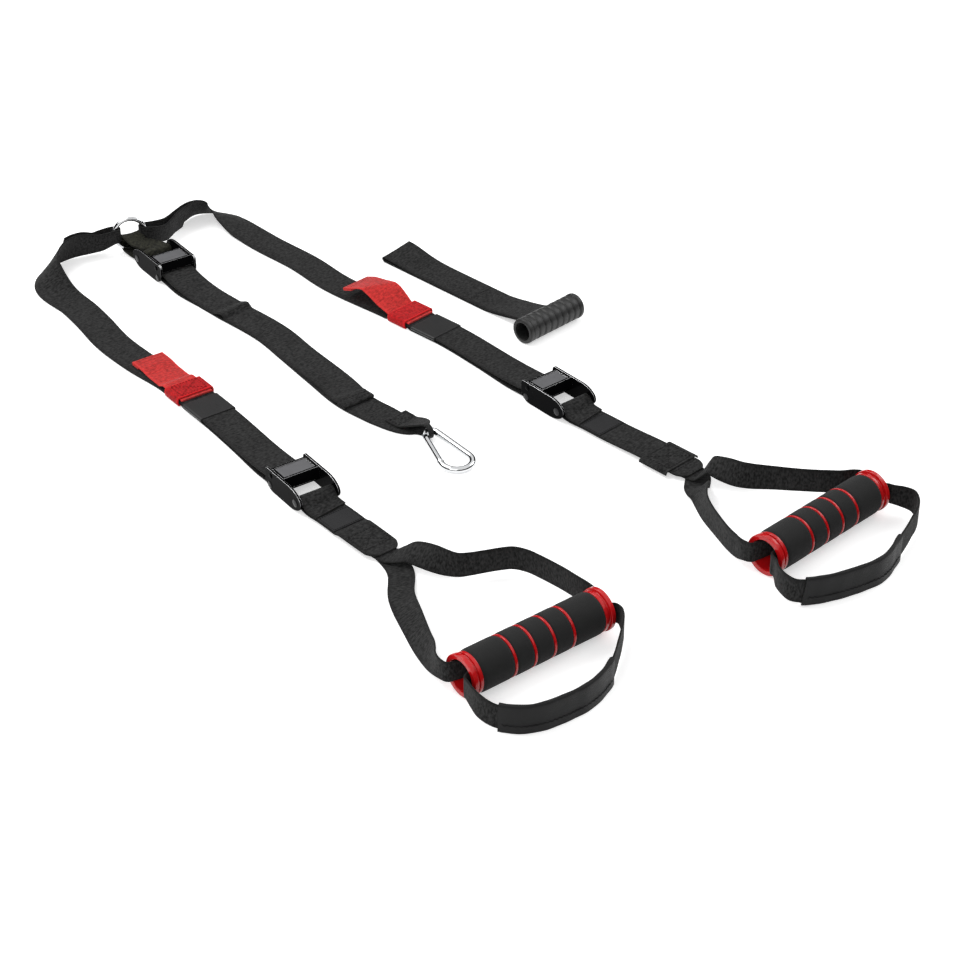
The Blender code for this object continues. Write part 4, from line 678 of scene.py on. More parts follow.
def rounded(profile: Sequence[tuple[float, float]], radius: float, loop: bool = False,
            steps: int = 4) -> list[tuple[float, float]]:
    """A profile whose corners are rounded by a quadratic curve.

    The curve runs from a point before each corner to one after it. Both lie at the radius, or
    at four tenths of the shorter side where that is less.

    Args:
        profile: Corners of the profile.
        radius: Distance from a corner at which the curve starts.
        loop: Whether the profile closes on itself.
        steps: Steps in each curve.

    Returns:
        The points of the rounded profile.
    """
    line = np.array(profile, dtype=float)
    made = []
    for k, corner in enumerate(line):
        if not loop and k in (0, len(line) - 1):
            made.append(tuple(corner))
            continue
        before, after = line[k - 1] - corner, line[(k + 1) % len(line)] - corner
        reach = min(radius, 0.4 * np.linalg.norm(before), 0.4 * np.linalg.norm(after))
        start, end = corner + unit(before) * reach, corner + unit(after) * reach
        for t in np.linspace(0, 1, steps + 1):
            made.append(tuple((1 - t) ** 2 * start + 2 * t * (1 - t) * corner + t ** 2 * end))
    return made


def arc(middle: Place, reach: float | Place, start: float, end: float,
        steps: int) -> Array:
    """Points on a stretch of an oval: middle plus reach times cosine and sine, in degrees."""
    angle = np.radians(np.linspace(start, end, steps + 1))
    return np.array(middle) + np.array(reach) * np.stack([np.cos(angle), np.sin(angle)], -1)


def rod(radius: float, half: float, soft: float, steps: int) -> Mesh:
    """A rod along Z with rounded rims."""
    return turned(rounded([(0, -half), (radius, -half), (radius, half), (0, half)], soft), steps)


def borer(radius: float, half: float) -> Mesh:
    """A round cutter along Z, for a hole with play round a rod of the radius."""
    bore = radius + GAP
    return turned([(0, half), (bore, half), (bore, -half), (0, -half)], 32)


def wire(path: Array, radius: float, sides: int, loop: bool = False) -> Mesh:
    """A round wire along a path that lies in the plane Z = 0.

    A point is the path's own, plus the radius times the cosine outwards in the plane and the
    sine along Z. Open ends are domed by rows whose radius falls as a cosine.

    Args:
        path: Points of the path, K by 2.
        radius: Radius of the wire.
        sides: Points round the wire.
        loop: Whether the path closes on itself.

    Returns:
        The closed mesh.
    """
    line = np.c_[path, np.zeros(len(path))]
    along = tangents(line, loop)
    size = np.full(len(line), radius)
    if not loop:
        bulge = np.radians(np.linspace(90, 0, 6))[:-1]
        dome = 0.25 * radius * np.sin(bulge)[:, None]
        line = np.concatenate([line[0] - along[0] * dome, line, line[-1] + along[-1] * dome[::-1]])
        size = np.concatenate([radius * np.cos(bulge), size, radius * np.cos(bulge[::-1])])
        along = np.pad(along, ((len(bulge), len(bulge)), (0, 0)), "edge")
    turn = np.linspace(0, math.tau, sides, endpoint=False)
    ring = np.cross(along, UP)[:, None] * np.cos(turn)[:, None] + UP * np.sin(turn)[:, None]
    return grid_mesh("wire", line[:, None] + ring * size[:, None, None], loop, True, merged=True)


def corner_links(node: str) -> tuple[Array, list[set[int]], list[tuple[int, int, int, int]]]:
    """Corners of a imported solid, the corners that each is joined to, and its flat pairs.

    Args:
        node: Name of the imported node; a merged copy of its mesh is read.

    Returns:
        Places, links, and the four corners of every two triangles that lie in one plane.
    """
    shell = bmesh.new()
    shell.from_mesh(frame["nodes"][node].data)
    bmesh.ops.remove_doubles(shell, verts=shell.verts, dist=2e-6)
    shell.verts.index_update()
    places = np.array([vert.co[:] for vert in shell.verts])
    links = [{edge.other_vert(vert).index for edge in vert.link_edges} for vert in shell.verts]
    pairs = []
    for edge in shell.edges:
        if len(edge.link_faces) == 2:
            one, other = edge.link_faces
            if one.normal.dot(other.normal) > 0.9999:
                ends = {vert.index for vert in edge.verts}
                wings = {vert.index for face in (one, other) for vert in face.verts} - ends
                (a, c), (b, d) = sorted(ends), sorted(wings)
                pairs.append((a, b, c, d))
    shell.free()
    return places, links, pairs


def first_section(places: Array, links: list[set[int]], pairs: list[tuple[int, int, int, int]],
                  near: Array, far: bool) -> tuple[tuple[int, ...], bool]:
    """The section that a walk along a band starts from.

    An open band has two end faces, whose four corners join only four more. In a closed band a
    section is a ring of four corners without diagonals, whose sides are shortest.

    Args:
        places: Corners of the band.
        links: Corners that each corner is joined to.
        pairs: Four corners of each flat pair of triangles.
        near: Place that the start is near to.
        far: Whether the start is instead as far as can be from that place.

    Returns:
        The four corners in order, and whether the band is closed.
    """
    sign = -1 if far else 1
    ends = []
    for ring in pairs:
        outer = set().union(*(links[k] for k in ring)) - set(ring)
        if len(outer) <= 4:
            ends.append((sign * np.linalg.norm(places[list(ring)].mean(0) - near), ring))
    if ends:
        return min(ends)[1], False
    rings = []
    for a, around in enumerate(links):
        for b, d in itertools.permutations(around, 2):
            if d in links[b]:
                continue
            wide, thin = places[b] - places[a], places[d] - places[a]
            broad, slim = np.linalg.norm(wide), np.linalg.norm(thin)
            if slim > broad / 2 or abs(wide @ thin) > 0.03 * broad * slim:
                continue
            for c in (links[b] & links[d]) - {a} - links[a]:
                if np.linalg.norm(places[a] - places[b] + places[c] - places[d]) < 0.1 * slim:
                    rings.append((a, slim, slim + broad, (a, b, c, d)))
    least = min(slim for _, slim, _, _ in rings)
    best = {}
    for a, slim, total, ring in rings:
        if slim < 1.1 * least and (a not in best or total < best[a][0]):
            best[a] = (total, ring)
    return min((ring for _, ring in best.values()),
               key=lambda ring: sign * np.linalg.norm(places[list(ring)].mean(0) - near)), True


def sections(node: str, near: Place, far: bool = False) -> tuple[Array, bool]:
    """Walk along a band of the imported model, section by section.

    Each next section is the four corners that the last one is joined to, in the order whose
    offsets from their middle are closest to those of the last one.

    Args:
        node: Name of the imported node.
        near: Place that the walk starts near to.
        far: Whether it starts far from that place instead.

    Returns:
        Sections by 4 corners by 3, and whether the band is closed.
    """
    places, links, pairs = corner_links(node)
    ring, closed = first_section(places, links, pairs, np.array(near), far)
    a, b, c, d = places[list(ring)]
    if np.linalg.norm(b - a) < np.linalg.norm(d - a):
        ring = (ring[1], ring[2], ring[3], ring[0])
    rings, used = [list(ring)], set(ring)
    while True:
        ahead = sorted(set().union(*(links[k] for k in rings[-1])) - used)
        if not ahead:
            break
        last = places[rings[-1]]
        if len(ahead) > 4:
            forward = np.cross(last[1] - last[0], last[3] - last[0])
            ahead = sorted(ahead, key=lambda k: -float((places[k] - last.mean(0)) @ forward))[:4]
        offsets = places[ahead] - places[ahead].mean(0)
        order = min(itertools.permutations(range(4)), key=lambda p: float(
            ((offsets[list(p)] - (last - last.mean(0))) ** 2).sum()))
        rings.append([ahead[k] for k in order])
        used.update(ahead)
    return places[np.array(rings)], closed


@dataclass
class Route:
    """A strap's middle line with its crosswise and upward directions and its width."""

    middle: Array
    across: Array
    normal: Array
    width: Array
    closed: bool
    cup: Array | float = 0.0
    slant: Array | float = 0.0

    def run(self) -> Array:
        """Distance of each row from the first."""
        return distances(self.middle)

    def length(self) -> float:
        """Whole length, with the step that closes a loop."""
        return float(distances(self.middle, self.closed)[-1])

    def breadth(self) -> float:
        """The greatest width."""
        return float(self.width.max())

    def stretch(self, start: float, end: float) -> Route:
        """The part of the route between two distances."""
        run = self.run()
        kept = (run >= start) & (run <= end)
        return Route(self.middle[kept], self.across[kept], self.normal[kept], self.width[kept], False)

    def relaid(self, middle: Array) -> Route:
        """The route over other middles, with its upward directions found again."""
        along = tangents(middle, self.closed)
        across = squared(self.across, along)
        normal = np.cross(along, across)
        side = np.sign((normal * self.normal).sum())
        return Route(middle, across, normal * side, self.width, self.closed)

    def nearest(self, place: Place) -> float:
        """Distance along the route of the row nearest to a place."""
        return float(self.run()[np.argmin(np.linalg.norm(self.middle - np.array(place), axis=1))])

    def upper(self, half: float) -> float:
        """The lift, half or its opposite, of the face that looks up half way along."""
        return half if self.normal[len(self.normal) // 2][2] > 0 else -half

    def read(self, along: Array, rows: Array) -> Array:
        """Rows of vectors read at distances, between rows in a straight line."""
        run = self.run()
        return np.stack([np.interp(along, run, rows[:, k]) for k in range(3)], -1)

    def at(self, along: Array, aside: Array, lift: float) -> tuple[Array, Array]:
        """Places on the strap's face and its upward direction there.

        A place is the middle at that distance, plus the crosswise direction times aside and
        the upward direction times lift.

        Args:
            along: Distances along the route.
            aside: Distances from the middle.
            lift: Height over the middle.

        Returns:
            The places and the unit vectors upward.
        """
        up = unit(self.read(along, self.normal))
        across = self.read(along, self.across) * aside[:, None]
        return self.read(along, self.middle) + across + up * lift, up


def smoothed(corners: Array, closed: bool, pitch: float) -> Route:
    """A smooth route through the middles of sections.

    Between two sections every value follows a cubic Hermite curve. Its slopes are the mean of
    the two secants in x and y, and their harmonic mean in height and width, so that these
    never swing past a section. A row is made for every pitch and for every 9 degrees of bend.

    Args:
        corners: Sections by 4 corners by 3.
        closed: Whether the last section joins the first.
        pitch: Distance between the rows that are made.

    Returns:
        The route.
    """
    wide = (corners[:, 1] - corners[:, 0] + corners[:, 2] - corners[:, 3]) / 2
    high = corners[:, 3] - corners[:, 0] + corners[:, 2] - corners[:, 1]
    data = np.concatenate([corners.mean(1), unit(wide), np.linalg.norm(wide, axis=1)[:, None]], 1)
    if closed:
        data = np.concatenate([data[-2:], data, data[:3]])
    steps = np.linalg.norm(np.diff(data[:, :3], axis=0), axis=1)
    secants = np.diff(data, axis=0) / steps[:, None]
    before, after = secants[:-1], secants[1:]
    weight = (steps[1:] / (steps[1:] + steps[:-1]))[:, None]
    slopes = np.concatenate([secants[:1], before * weight + after * (1 - weight), secants[-1:]])
    steady = before * after > 0
    calm = np.where(steady, 2 * before * after, 0.0) / np.where(steady, before + after, 1.0)
    slopes[1:-1, [2, 6]] = calm[:, [2, 6]]
    turn = np.degrees(np.arccos(np.clip((unit(before[:, :3]) * unit(after[:, :3])).sum(1), -1, 1)))
    bend = np.maximum(np.append(turn, 0), np.append(0, turn))
    counts = np.maximum(np.ceil(steps / pitch), np.ceil(bend / 9)).astype(int).clip(1, 40)
    if closed:
        counts[:2] = 0
        counts[-2:] = 0
    index = np.repeat(np.arange(len(steps)), counts)
    offset = np.concatenate([[0], np.cumsum(counts)[:-1]])
    t = ((np.arange(len(index)) - offset[index]) / counts[index])[:, None]
    step = steps[index][:, None]
    fine = ((2 * t**3 - 3 * t**2 + 1) * data[index] + (t**3 - 2 * t**2 + t) * step * slopes[index]
            + (3 * t**2 - 2 * t**3) * data[index + 1] + (t**3 - t**2) * step * slopes[index + 1])
    if not closed:
        fine = np.concatenate([fine, data[-1:]])
    middle = fine[:, :3]
    along = tangents(middle, closed)
    across = squared(fine[:, 3:6], along)
    normal = np.cross(along, across)
    return Route(middle, across, -normal if normal[0] @ high[0] < 0 else normal, fine[:, 6], closed)


def routed(node: str, near: Place, pitch: float, far: bool = False) -> Route:
    """The smooth route of a packed strap, from its end near to a place or far from it."""
    return smoothed(*sections(node, near, far), pitch)


def webbing_section(width: float, thick: float) -> Array:
    """Half of a strap's section, from its left selvedge over the top to its right one.

    The selvedges are arcs of half the thickness, and the face sinks a little towards them.

    Args:
        width: Width of the strap.
        thick: Thickness of the strap.

    Returns:
        Points aside and up, K by 2.
    """
    radius = thick / 2
    left = arc((radius - width / 2, 0), radius, 165, 90, 4)
    right = arc((width / 2 - radius, 0), radius, 90, 15, 4)
    aside = np.linspace(left[-1, 0], right[0, 0], 18)[1:-1]
    sink = 1 - 0.10 * (2 * np.abs(aside) / width) ** 6
    return np.concatenate([left, np.c_[aside, radius * sink], right])


def shell_section(centre: Array, thick: float) -> Array:
    """The closed section of a cloth, half its thickness to each side of a line of points."""
    slope = np.gradient(centre, axis=0)
    aside = unit(np.stack([-slope[:, 1], slope[:, 0]], -1)) * thick / 2
    return np.concatenate([centre + aside, (centre - aside)[::-1]])


def swept(name: str, grid: Array, run: Array, loop: Array, closed: bool = False) -> Mesh:
    """The mesh of a section that was carried along a route.

    Args:
        name: Name of the mesh.
        grid: Places, rows by points of the section.
        run: Metres along for each row, and once more where a closed route ends.
        loop: The section's own points.
        closed: Whether the last row joins the first; else the ends are capped.

    Returns:
        The closed mesh, with metres along and round in its UV map.
    """
    return grid_mesh(name, grid, closed, True, (run, distances(loop, True)), capped=not closed)


def ribbon(name: str, route: Route, thick: float) -> Mesh:
    """Sweep a strap's section along a route.

    A point is the row's middle, plus its crosswise direction times the section's share of the
    width and its upward direction times the section's height, above and mirrored below. Where
    the route is cupped, it also rises with the square of its distance from the middle. Where it
    is slanted, it takes the height of the middle line as much further on as slant times its
    distance from the middle.

    Args:
        name: Name of the mesh.
        route: The strap's route.
        thick: Thickness of the strap.

    Returns:
        The closed mesh, with lengths in its UV map and its selvedge as an attribute.
    """
    broad = route.breadth()
    half = webbing_section(broad, thick)
    loop = np.concatenate([half, (half * (1, -1))[::-1]])
    share = (loop[:, 0] / (broad / 2))[None, :, None]
    aside = share * (route.width / 2)[:, None, None]
    grid = route.middle[:, None] + route.across[:, None] * aside + route.normal[:, None] * loop[None, :, 1:]
    grid = grid + UP * (aside ** 2 * np.reshape(route.cup, (-1, 1, 1)))
    run, level = route.run(), route.middle[:, 2]
    onward = run[:, None] + (aside * np.reshape(route.slant, (-1, 1, 1)))[..., 0]
    grid[..., 2] += np.interp(onward, run, level) - level[:, None]
    mesh = swept(name, grid, np.append(run, route.length()), loop, route.closed)
    # The selvedge mask, where the webbing finish paints shade or highlight.
    edge = np.abs(half[:, 0]) - (broad / 2 - thick / 2)
    value = np.clip(1 + edge / (1.6 * thick), 0, 1)
    return marked(mesh, "selvedge", np.tile(np.concatenate([value, value[::-1]]), len(grid)))


def thread_mesh(name: str, starts: Array, ends: Array, up: Array, radius: float) -> Mesh:
    """Stitches as short arched threads between pairs of places.

    At a share s of a stitch its middle lies on the line between the places, raised by the
    sine of half a turn times s, and its radius swells from the two tips.

    Args:
        name: Name of the mesh.
        starts: First place of each stitch.
        ends: Last place of each stitch.
        up: Direction away from the cloth.
        radius: Radius of the thread.

    Returns:
        One mesh with every stitch in it.
    """
    share, swell, sides = np.array((0.12, 0.5, 0.88)), np.array((0.75, 1.0, 0.75)), 6
    turn = np.linspace(0, math.tau, sides, endpoint=False)
    side = unit(np.cross(ends - starts, up))
    middle = (starts[:, None] + (ends - starts)[:, None] * share[:, None]
              + up[:, None] * (radius * 0.7 * np.sin(math.pi * share))[:, None])
    ring = (side[:, None, None] * np.cos(turn)[:, None] + up[:, None, None] * np.sin(turn)[:, None])
    body = middle[:, :, None] + ring * (radius * swell)[None, :, None, None]
    count, last = len(starts), len(share) * sides + 1
    points = np.concatenate([starts[:, None] - up[:, None] * radius / 2, body.reshape(count, last - 1, 3),
                             ends[:, None] - up[:, None] * radius / 2], 1).reshape(-1, 3)
    k = np.arange(sides)
    beside = (k + 1) % sides
    quads = np.concatenate([np.stack([k, beside, beside + sides, k + sides], -1) + 1 + sides * row
                            for row in range(len(share) - 1)])
    tips = np.concatenate([np.stack([k * 0, 1 + beside, 1 + k], -1),
                           np.stack([k * 0 + last, last - sides + k, last - sides + beside], -1)])
    shift = (last + 1) * np.arange(count)[:, None, None]
    quads, tips = (quads + shift).reshape(-1, 4), (tips + shift).reshape(-1, 3)
    if enclosed(points, quads) < 0:
        quads, tips = quads[:, ::-1], tips[:, ::-1]
    mesh = bpy.data.meshes.new(name)
    mesh.from_pydata(points.tolist(), [], quads.tolist() + tips.tolist())
    corners = np.zeros(len(mesh.loops), dtype=np.int32)
    mesh.loops.foreach_get("vertex_index", corners)
    uv = points[corners][:, :2].astype(np.float32)
    mesh.uv_layers.new(name="cloth").data.foreach_set("uv", uv.ravel())
    return mesh


@dataclass
class Seam:
    """A line of stitches on a strap's face."""

    route: Route
    lift: float
    pitch: float = 0.0034
    stitch: float = 0.0026

    def along(self, corners: Sequence[tuple[float, float]]) -> Stitches:
        """Stitches on straight lines between corners given along and across the strap.

        Args:
            corners: Distance along the route and from its middle.

        Returns:
            Starts, ends and upward directions.
        """
        line = np.array(corners, dtype=float)
        run = distances(line)
        count = max(1, int(run[-1] / self.pitch))
        start = (np.arange(count) + 0.15) * run[-1] / count
        (starts, _), (ends, up) = (
            self.route.at(*(np.interp(distance, run, line[:, k]) for k in (0, 1)), self.lift)
            for distance in (start, start + self.stitch))
        return starts, ends, up

    def over(self, at: float, half: float) -> Stitches:
        """A line right across the strap at a distance, half to each side."""
        return self.along([(at, -half), (at, half)])

    def box(self, start: float, end: float, half: float, cross: bool = True) -> list[Stitches]:
        """A sewn box between two distances, with its diagonals."""
        lines = [self.along([(start, -half), (end, -half), (end, half), (start, half), (start, -half)])]
        if cross:
            lines += [self.along([(start, -side), (end, side)]) for side in (half, -half)]
        return lines


def faced(route: Route, at: float, reach: float, half: float) -> Seam:
    """A seam on the face, half over the middle, that looks up near a distance along a route."""
    return Seam(route, route.stretch(at - reach, at + reach).upper(half))


def mark_highlight_rims(mesh: Mesh, width: float = 0.00035) -> Mesh:
    """Mark the narrow faces that round a mesh's edges, for a painted highlight there.

    A face is narrow if twice its area over its perimeter is less than the width. Its mark
    falls from 1 to 0 as it turns from up to down, so the painted highlight keeps to upper rims.

    Args:
        mesh: The mesh that is marked.
        width: Width under which a face belongs to an edge.

    Returns:
        The same mesh, with the face attribute "rim".
    """
    count = len(mesh.polygons)
    starts, corners = np.zeros(count, dtype=np.int32), np.zeros(len(mesh.loops), dtype=np.int32)
    areas, normals = np.zeros(count, dtype=np.float32), np.zeros(count * 3, dtype=np.float32)
    mesh.polygons.foreach_get("loop_start", starts)
    mesh.polygons.foreach_get("area", areas)
    mesh.polygons.foreach_get("normal", normals)
    mesh.loops.foreach_get("vertex_index", corners)
    order = np.argsort(starts)
    after = np.arange(len(corners)) + 1
    after[np.append(starts[order][1:], len(corners)) - 1] = starts[order]
    points = points_of(mesh)[corners]
    around = np.zeros(count)
    around[order] = np.add.reduceat(np.linalg.norm(points[after] - points, axis=1), starts[order])
    narrow = 2 * areas / np.maximum(around, 1e-9) < width
    # Facing up keeps the painted highlight to the rims that the lamps above would catch.
    upward = np.clip(1.3 * normals.reshape(-1, 3)[:, 2] + 0.15, 0, 1)
    return marked(mesh, "rim", narrow * upward, "FACE")


def body_of(node: str) -> str:
    """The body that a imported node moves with."""
    return frame["nodes"][node]["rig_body"]


def middle_of(node: str) -> Array:
    """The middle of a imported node's box."""
    low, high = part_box(node)
    return (np.array(low) + np.array(high)) / 2


def joint(name: str) -> dict[str, object]:
    """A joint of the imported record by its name."""
    return next(item for item in frame["joints"] if item["name"] == name)


def axes(origin: Place, x: Place, y: Place, z: Place) -> Matrix:
    """A matrix from its origin and its three directions."""
    matrix = Matrix((x, y, z)).transposed().to_4x4()
    matrix.translation = Vector(origin)
    return matrix


def on_line(place: Array, along: Array) -> Matrix:
    """A frame at a place in the plane Z = 0, whose X runs along a direction in that plane."""
    return axes((*place, 0), (*along, 0), (-along[1], along[0], 0), UP)


def flat_joint_frame(name: str) -> Matrix:
    """A frame on a level joint: Y is its axis, pointing to +Y, and Z is up."""
    item = joint(name)
    y = northward(item["axis"])
    return axes(item["pos_m"], np.cross(y, UP), y, UP)


@dataclass
class Bench:
    """Places finished pieces in the scene with their finish, body and slot."""

    paints: dict[str, Material] = field(init=False)

    def __post_init__(self) -> None:
        """Make every finish."""
        self.paints = {name: finish.build() for name, finish in FINISHES.items()}

    def coat(self, mesh: Mesh, paint: str) -> None:
        """Give a mesh one finish by its short name."""
        mesh.materials.clear()
        mesh.materials.append(self.paints[paint])

    def add(self, name: str, mesh: Mesh, paint: str, body: str, nodes: Sequence[str] = (),
            angle: float = 40.0, flats: bool = False) -> Item:
        """Link a piece, dress it, and let it ride on its body.

        Args:
            name: Name of the piece.
            mesh: Its mesh, in the trainer's own place.
            paint: Short name of its finish.
            body: The body that it moves with.
            nodes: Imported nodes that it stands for.
            angle: Angle in degrees past which an edge is sharp.
            flats: Whether its wide faces are flat.

        Returns:
            The piece.
        """
        self.coat(mesh, paint)
        mesh.shade_smooth()
        mesh.set_sharp_from_angle(angle=math.radians(angle))
        item = linked(name, evened(mesh) if flats else mesh)
        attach(item, body)
        if nodes:
            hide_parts(*nodes)
        LOG.info("%s: %d faces on %s", name, len(mesh.polygons), body)
        return item

    def stand_in(self, node: str, suffix: str, mesh: Mesh, paint: str, angle: float = 40.0,
                 flats: bool = False) -> Item:
        """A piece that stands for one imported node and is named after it."""
        return self.add(f"{node}_{suffix}", mesh, paint, body_of(node), [node], angle, flats)

    def cloth(self, node: str, mesh: Mesh, paint: str) -> Item:
        """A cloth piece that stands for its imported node."""
        return self.stand_in(node, "cloth", mesh, paint, 60.0)

    def strap(self, node: str, route: Route, thick: float, paint: str, held: Held = Held.LAID,
              rests_on: Sequence[str] = ()) -> Item:
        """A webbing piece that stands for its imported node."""
        item = self.cloth(node, ribbon(f"{node}_cloth", route, thick), paint)
        route.length()
        return item

    def sew(self, name: str, lines: Sequence[Stitches], paint: str, body: str,
            radius: float = 0.00035) -> Item:
        """Stitches of several lines as one piece."""
        starts, ends, up = (np.concatenate(parts) for parts in zip(*lines))
        return self.add(name, thread_mesh(name, starts, ends, up, radius), paint, body)


class Assembly:
    """A group of pieces that is placed together."""

    def build(self, bench: Bench) -> None:
        """Place every piece of the group.

        Args:
            bench: Where pieces are placed.
        """
        raise NotImplementedError


@dataclass
class CamBuckle(Assembly):
    """Cam buckle: two D-shaped cheeks, base plate, cam lever, pins and spring.

    A cheek's ovals each give their middle and their reach, as shares of the length and the
    height, and then their first and last angle and their steps. The other shares are places
    along the length, from the strap's end. The panel's ridge gives its height, and then its
    place and its breadth as shares of the panel's half length.
    """

    side: str
    length: float = 0.064
    height: float = 0.023
    inner: float = 0.0396
    cheek: float = 0.0024
    plate_height: float = 0.0022
    plate_thick: float = 0.002
    plate_shares: tuple[float, float] = (0.25, 0.34)
    lip_radius: float = 0.0026
    bar_radius: float = 0.003
    pin_radius: float = 0.0016
    pin_share: float = 0.156
    head_rim: float = 0.001
    head_thick: float = 0.0007
    ovals: tuple[tuple[float, ...], ...] = ((0.67, 0.5, 0.33, 0.5, -90, 90, 56),
                                            (0.06, 0.84, 0.06, 0.16, 90, 180, 14),
                                            (0.22, 0.48, 0.22, 0.48, 180, 270, 26))
    lever_play: float = 0.0004
    lever_shares: tuple[float, ...] = (0.04, 0.09, 0.1, 0.452, 0.464, 0.49, 0.46, 0.437)
    lip_share: float = 0.064
    lip_drop: float = 0.17
    tab_drop: float = 0.22
    under_drop: float = 0.11
    cam_radius: float = 0.00575
    cam_start: float = 15.0
    cam_turn: float = 137.0
    cam_fall: float = 0.15
    tooth: float = 0.10
    teeth: int = 12
    panel_shares: tuple[float, float] = (0.135, 0.42)
    panel_rim: float = 0.13
    panel_base: float = 0.0001
    panel_lift: float = 0.0002
    panel_crown: float = 0.00012
    panel_ridge: tuple[float, float, float] = (0.00022, -0.72, 0.09)
    panel_slopes: tuple[float, float] = (10.0, 14.0)
    recess: float = 0.0007
    neck_reach: float = 1.3
    pocket_reach: float = 1.4
    pocket_drop: float = 0.115
    pocket_half: float = 0.0026
    pocket_back: float = 0.0031
    pocket_depth: float = 0.008
    drill: float = 0.01
    edge: float = 0.0005
    lever_edge: float = 0.00035

    @property
    def top(self) -> float:
        """Height of the lever's upper face."""
        return self.height - self.lever_play

    @property
    def rods(self) -> dict[str, float]:
        """Radius of each bar and of the cam's pin."""
        return {"lip_bar": self.lip_radius, "webbing_bar": self.bar_radius, "cam_pin": self.pin_radius}

    def frame(self) -> Matrix:
        """The buckle's own frame: X from the strap end to the bar end, Z up, on the floor."""
        pin, bar = (middle_of(f"{self.side}_buckle_{part}") for part in ("cam_pin", "webbing_bar"))
        x = unit((bar - pin) * (1, 1, 0))
        origin = pin - x * self.pin_share * self.length
        return axes((*origin[:2], 0.0), x, np.cross(UP, x), UP)

    def spot(self, part: str) -> tuple[float, float]:
        """Length and height of a bar or the cam's pin in the buckle's frame."""
        place = self.frame().inverted() @ Vector(middle_of(f"{self.side}_buckle_{part}"))
        return place.x, place.z

    def cheek_mesh(self, side: float) -> Mesh:
        """One cheek: its ovals given their thickness, at a side."""
        long, high = self.length, self.height
        outline = np.concatenate([arc((x * long, z * high), (u * long, w * high), start, end, steps)
                                  for x, z, u, w, start, end, steps in self.ovals])
        holes = [put(borer(radius, self.drill), Matrix.Translation((*self.spot(part), 0)))
                 for part, radius in self.rods.items()]
        mesh = softened(joined(plate(outline, self.cheek / 2), holes, "DIFFERENCE"), self.edge)
        return put(mesh, Matrix.Translation((0, side, 0)) @ STAND)

    def body_mesh(self) -> Mesh:
        """Both cheeks joined by the base plate."""
        side = (self.inner + self.cheek) / 2
        start, end = (self.length * share for share in self.plate_shares)
        base = softened(slab((start, -side, self.plate_height),
                             (end, side, self.plate_height + self.plate_thick)), self.edge)
        return put(joined(base, [self.cheek_mesh(-side), self.cheek_mesh(side)], "UNION"), self.frame())

    def lever_outline(self) -> Array:
        """Side view of the lever: lip, panel, thumb tab and the toothed cam.

        The cam's radius falls by cam_fall as it turns from below the pin to the front, and
        every second of its points is cut back by a tooth.
        """
        pin_u, pin_w = self.spot("cam_pin")
        lip, tab = pin_w - self.lip_drop * self.height, pin_w - self.tab_drop * self.height
        top, under, low = self.top, self.top - self.under_drop * self.height, self.top - 2 * self.lever_play
        levels = (lip, low, top, top, low, tab, tab, under)
        upper = [(self.length * share, level) for share, level in zip(self.lever_shares, levels)]
        upper.append((pin_u + self.neck_reach * self.cam_radius, under))
        step = np.arange(2 * self.teeth + 1)
        angle = -self.cam_start - self.cam_turn * step / step[-1]
        fall = np.maximum(0.0, (angle + 90) / (90 - self.cam_start)) * self.cam_fall
        radius = self.cam_radius * (1 - fall - (step % 2) * self.tooth)
        turn = np.radians(angle)
        cam = np.stack([pin_u + radius * np.cos(turn), pin_w + radius * np.sin(turn)], -1)
        return np.concatenate([upper, cam, [(self.length * self.lip_share, lip)]])

    def lever_mesh(self) -> Mesh:
        """The lever with its recessed panel, its pocket for the spring and the pin's bore."""
        pin_u, pin_w = self.spot("cam_pin")
        wide = self.inner / 2 - self.lever_play
        rim = self.panel_rim * wide
        start, end = (self.length * share for share in self.panel_shares)
        recess = slab((start, rim - wide, self.top - self.recess),
                      (end, wide - rim, self.top + self.length / 16))
        pocket = slab((pin_u - self.pocket_back, -self.pocket_half, pin_w - self.pocket_depth),
                      (pin_u + self.pocket_reach * self.cam_radius, self.pocket_half,
                       self.top - self.pocket_drop * self.height))
        hole = put(borer(self.pin_radius, 3 * self.drill), Matrix.Translation((pin_u, 0, pin_w)) @ STAND)
        mesh = joined(put(plate(self.lever_outline(), wide), STAND), [recess, pocket, hole], "DIFFERENCE")
        return put(softened(mesh, self.lever_edge), self.frame())

    def panel_mesh(self) -> Mesh:
        """The pressed panel in the lever's recess: a low crowned plate with a raised band.

        Its height is a small crown, the product of two cosines, plus a narrow ridge along one
        long side. Both fall away at its rim.
        """
        play, floor = self.lever_play, self.top - self.recess
        wide = (1 - self.panel_rim) * (self.inner / 2 - play) - play
        start, end = (self.length * share for share in self.panel_shares)
        share_x, share_y = np.linspace(-1, 1, 40)[:, None], np.linspace(-1, 1, 48)[None, :]
        x, y = np.linspace(start + play, end - play, 40)[:, None], np.linspace(-wide, wide, 48)[None, :]
        rim_x, rim_y = (np.minimum(1, slope * (1 - np.abs(share)))
                        for slope, share in zip(self.panel_slopes, (share_x, share_y)))
        crown = self.panel_crown * np.cos(share_x * math.pi / 2) * np.cos(share_y * math.pi / 2)
        high, at, broad = self.panel_ridge
        ridge = high * np.exp(-((share_x - at) / broad) ** 2)
        height = floor + self.panel_base + (self.panel_lift + crown + ridge) * (rim_x * rim_y)
        upper = np.stack(np.broadcast_arrays(x, y, height), -1)
        lower = upper * (1, 1, 0) + (0, 0, floor - self.panel_base)
        grid = np.concatenate([upper, lower[:, ::-1]], 1)
        return put(grid_mesh("panel", grid, False, True, capped=True), self.frame())

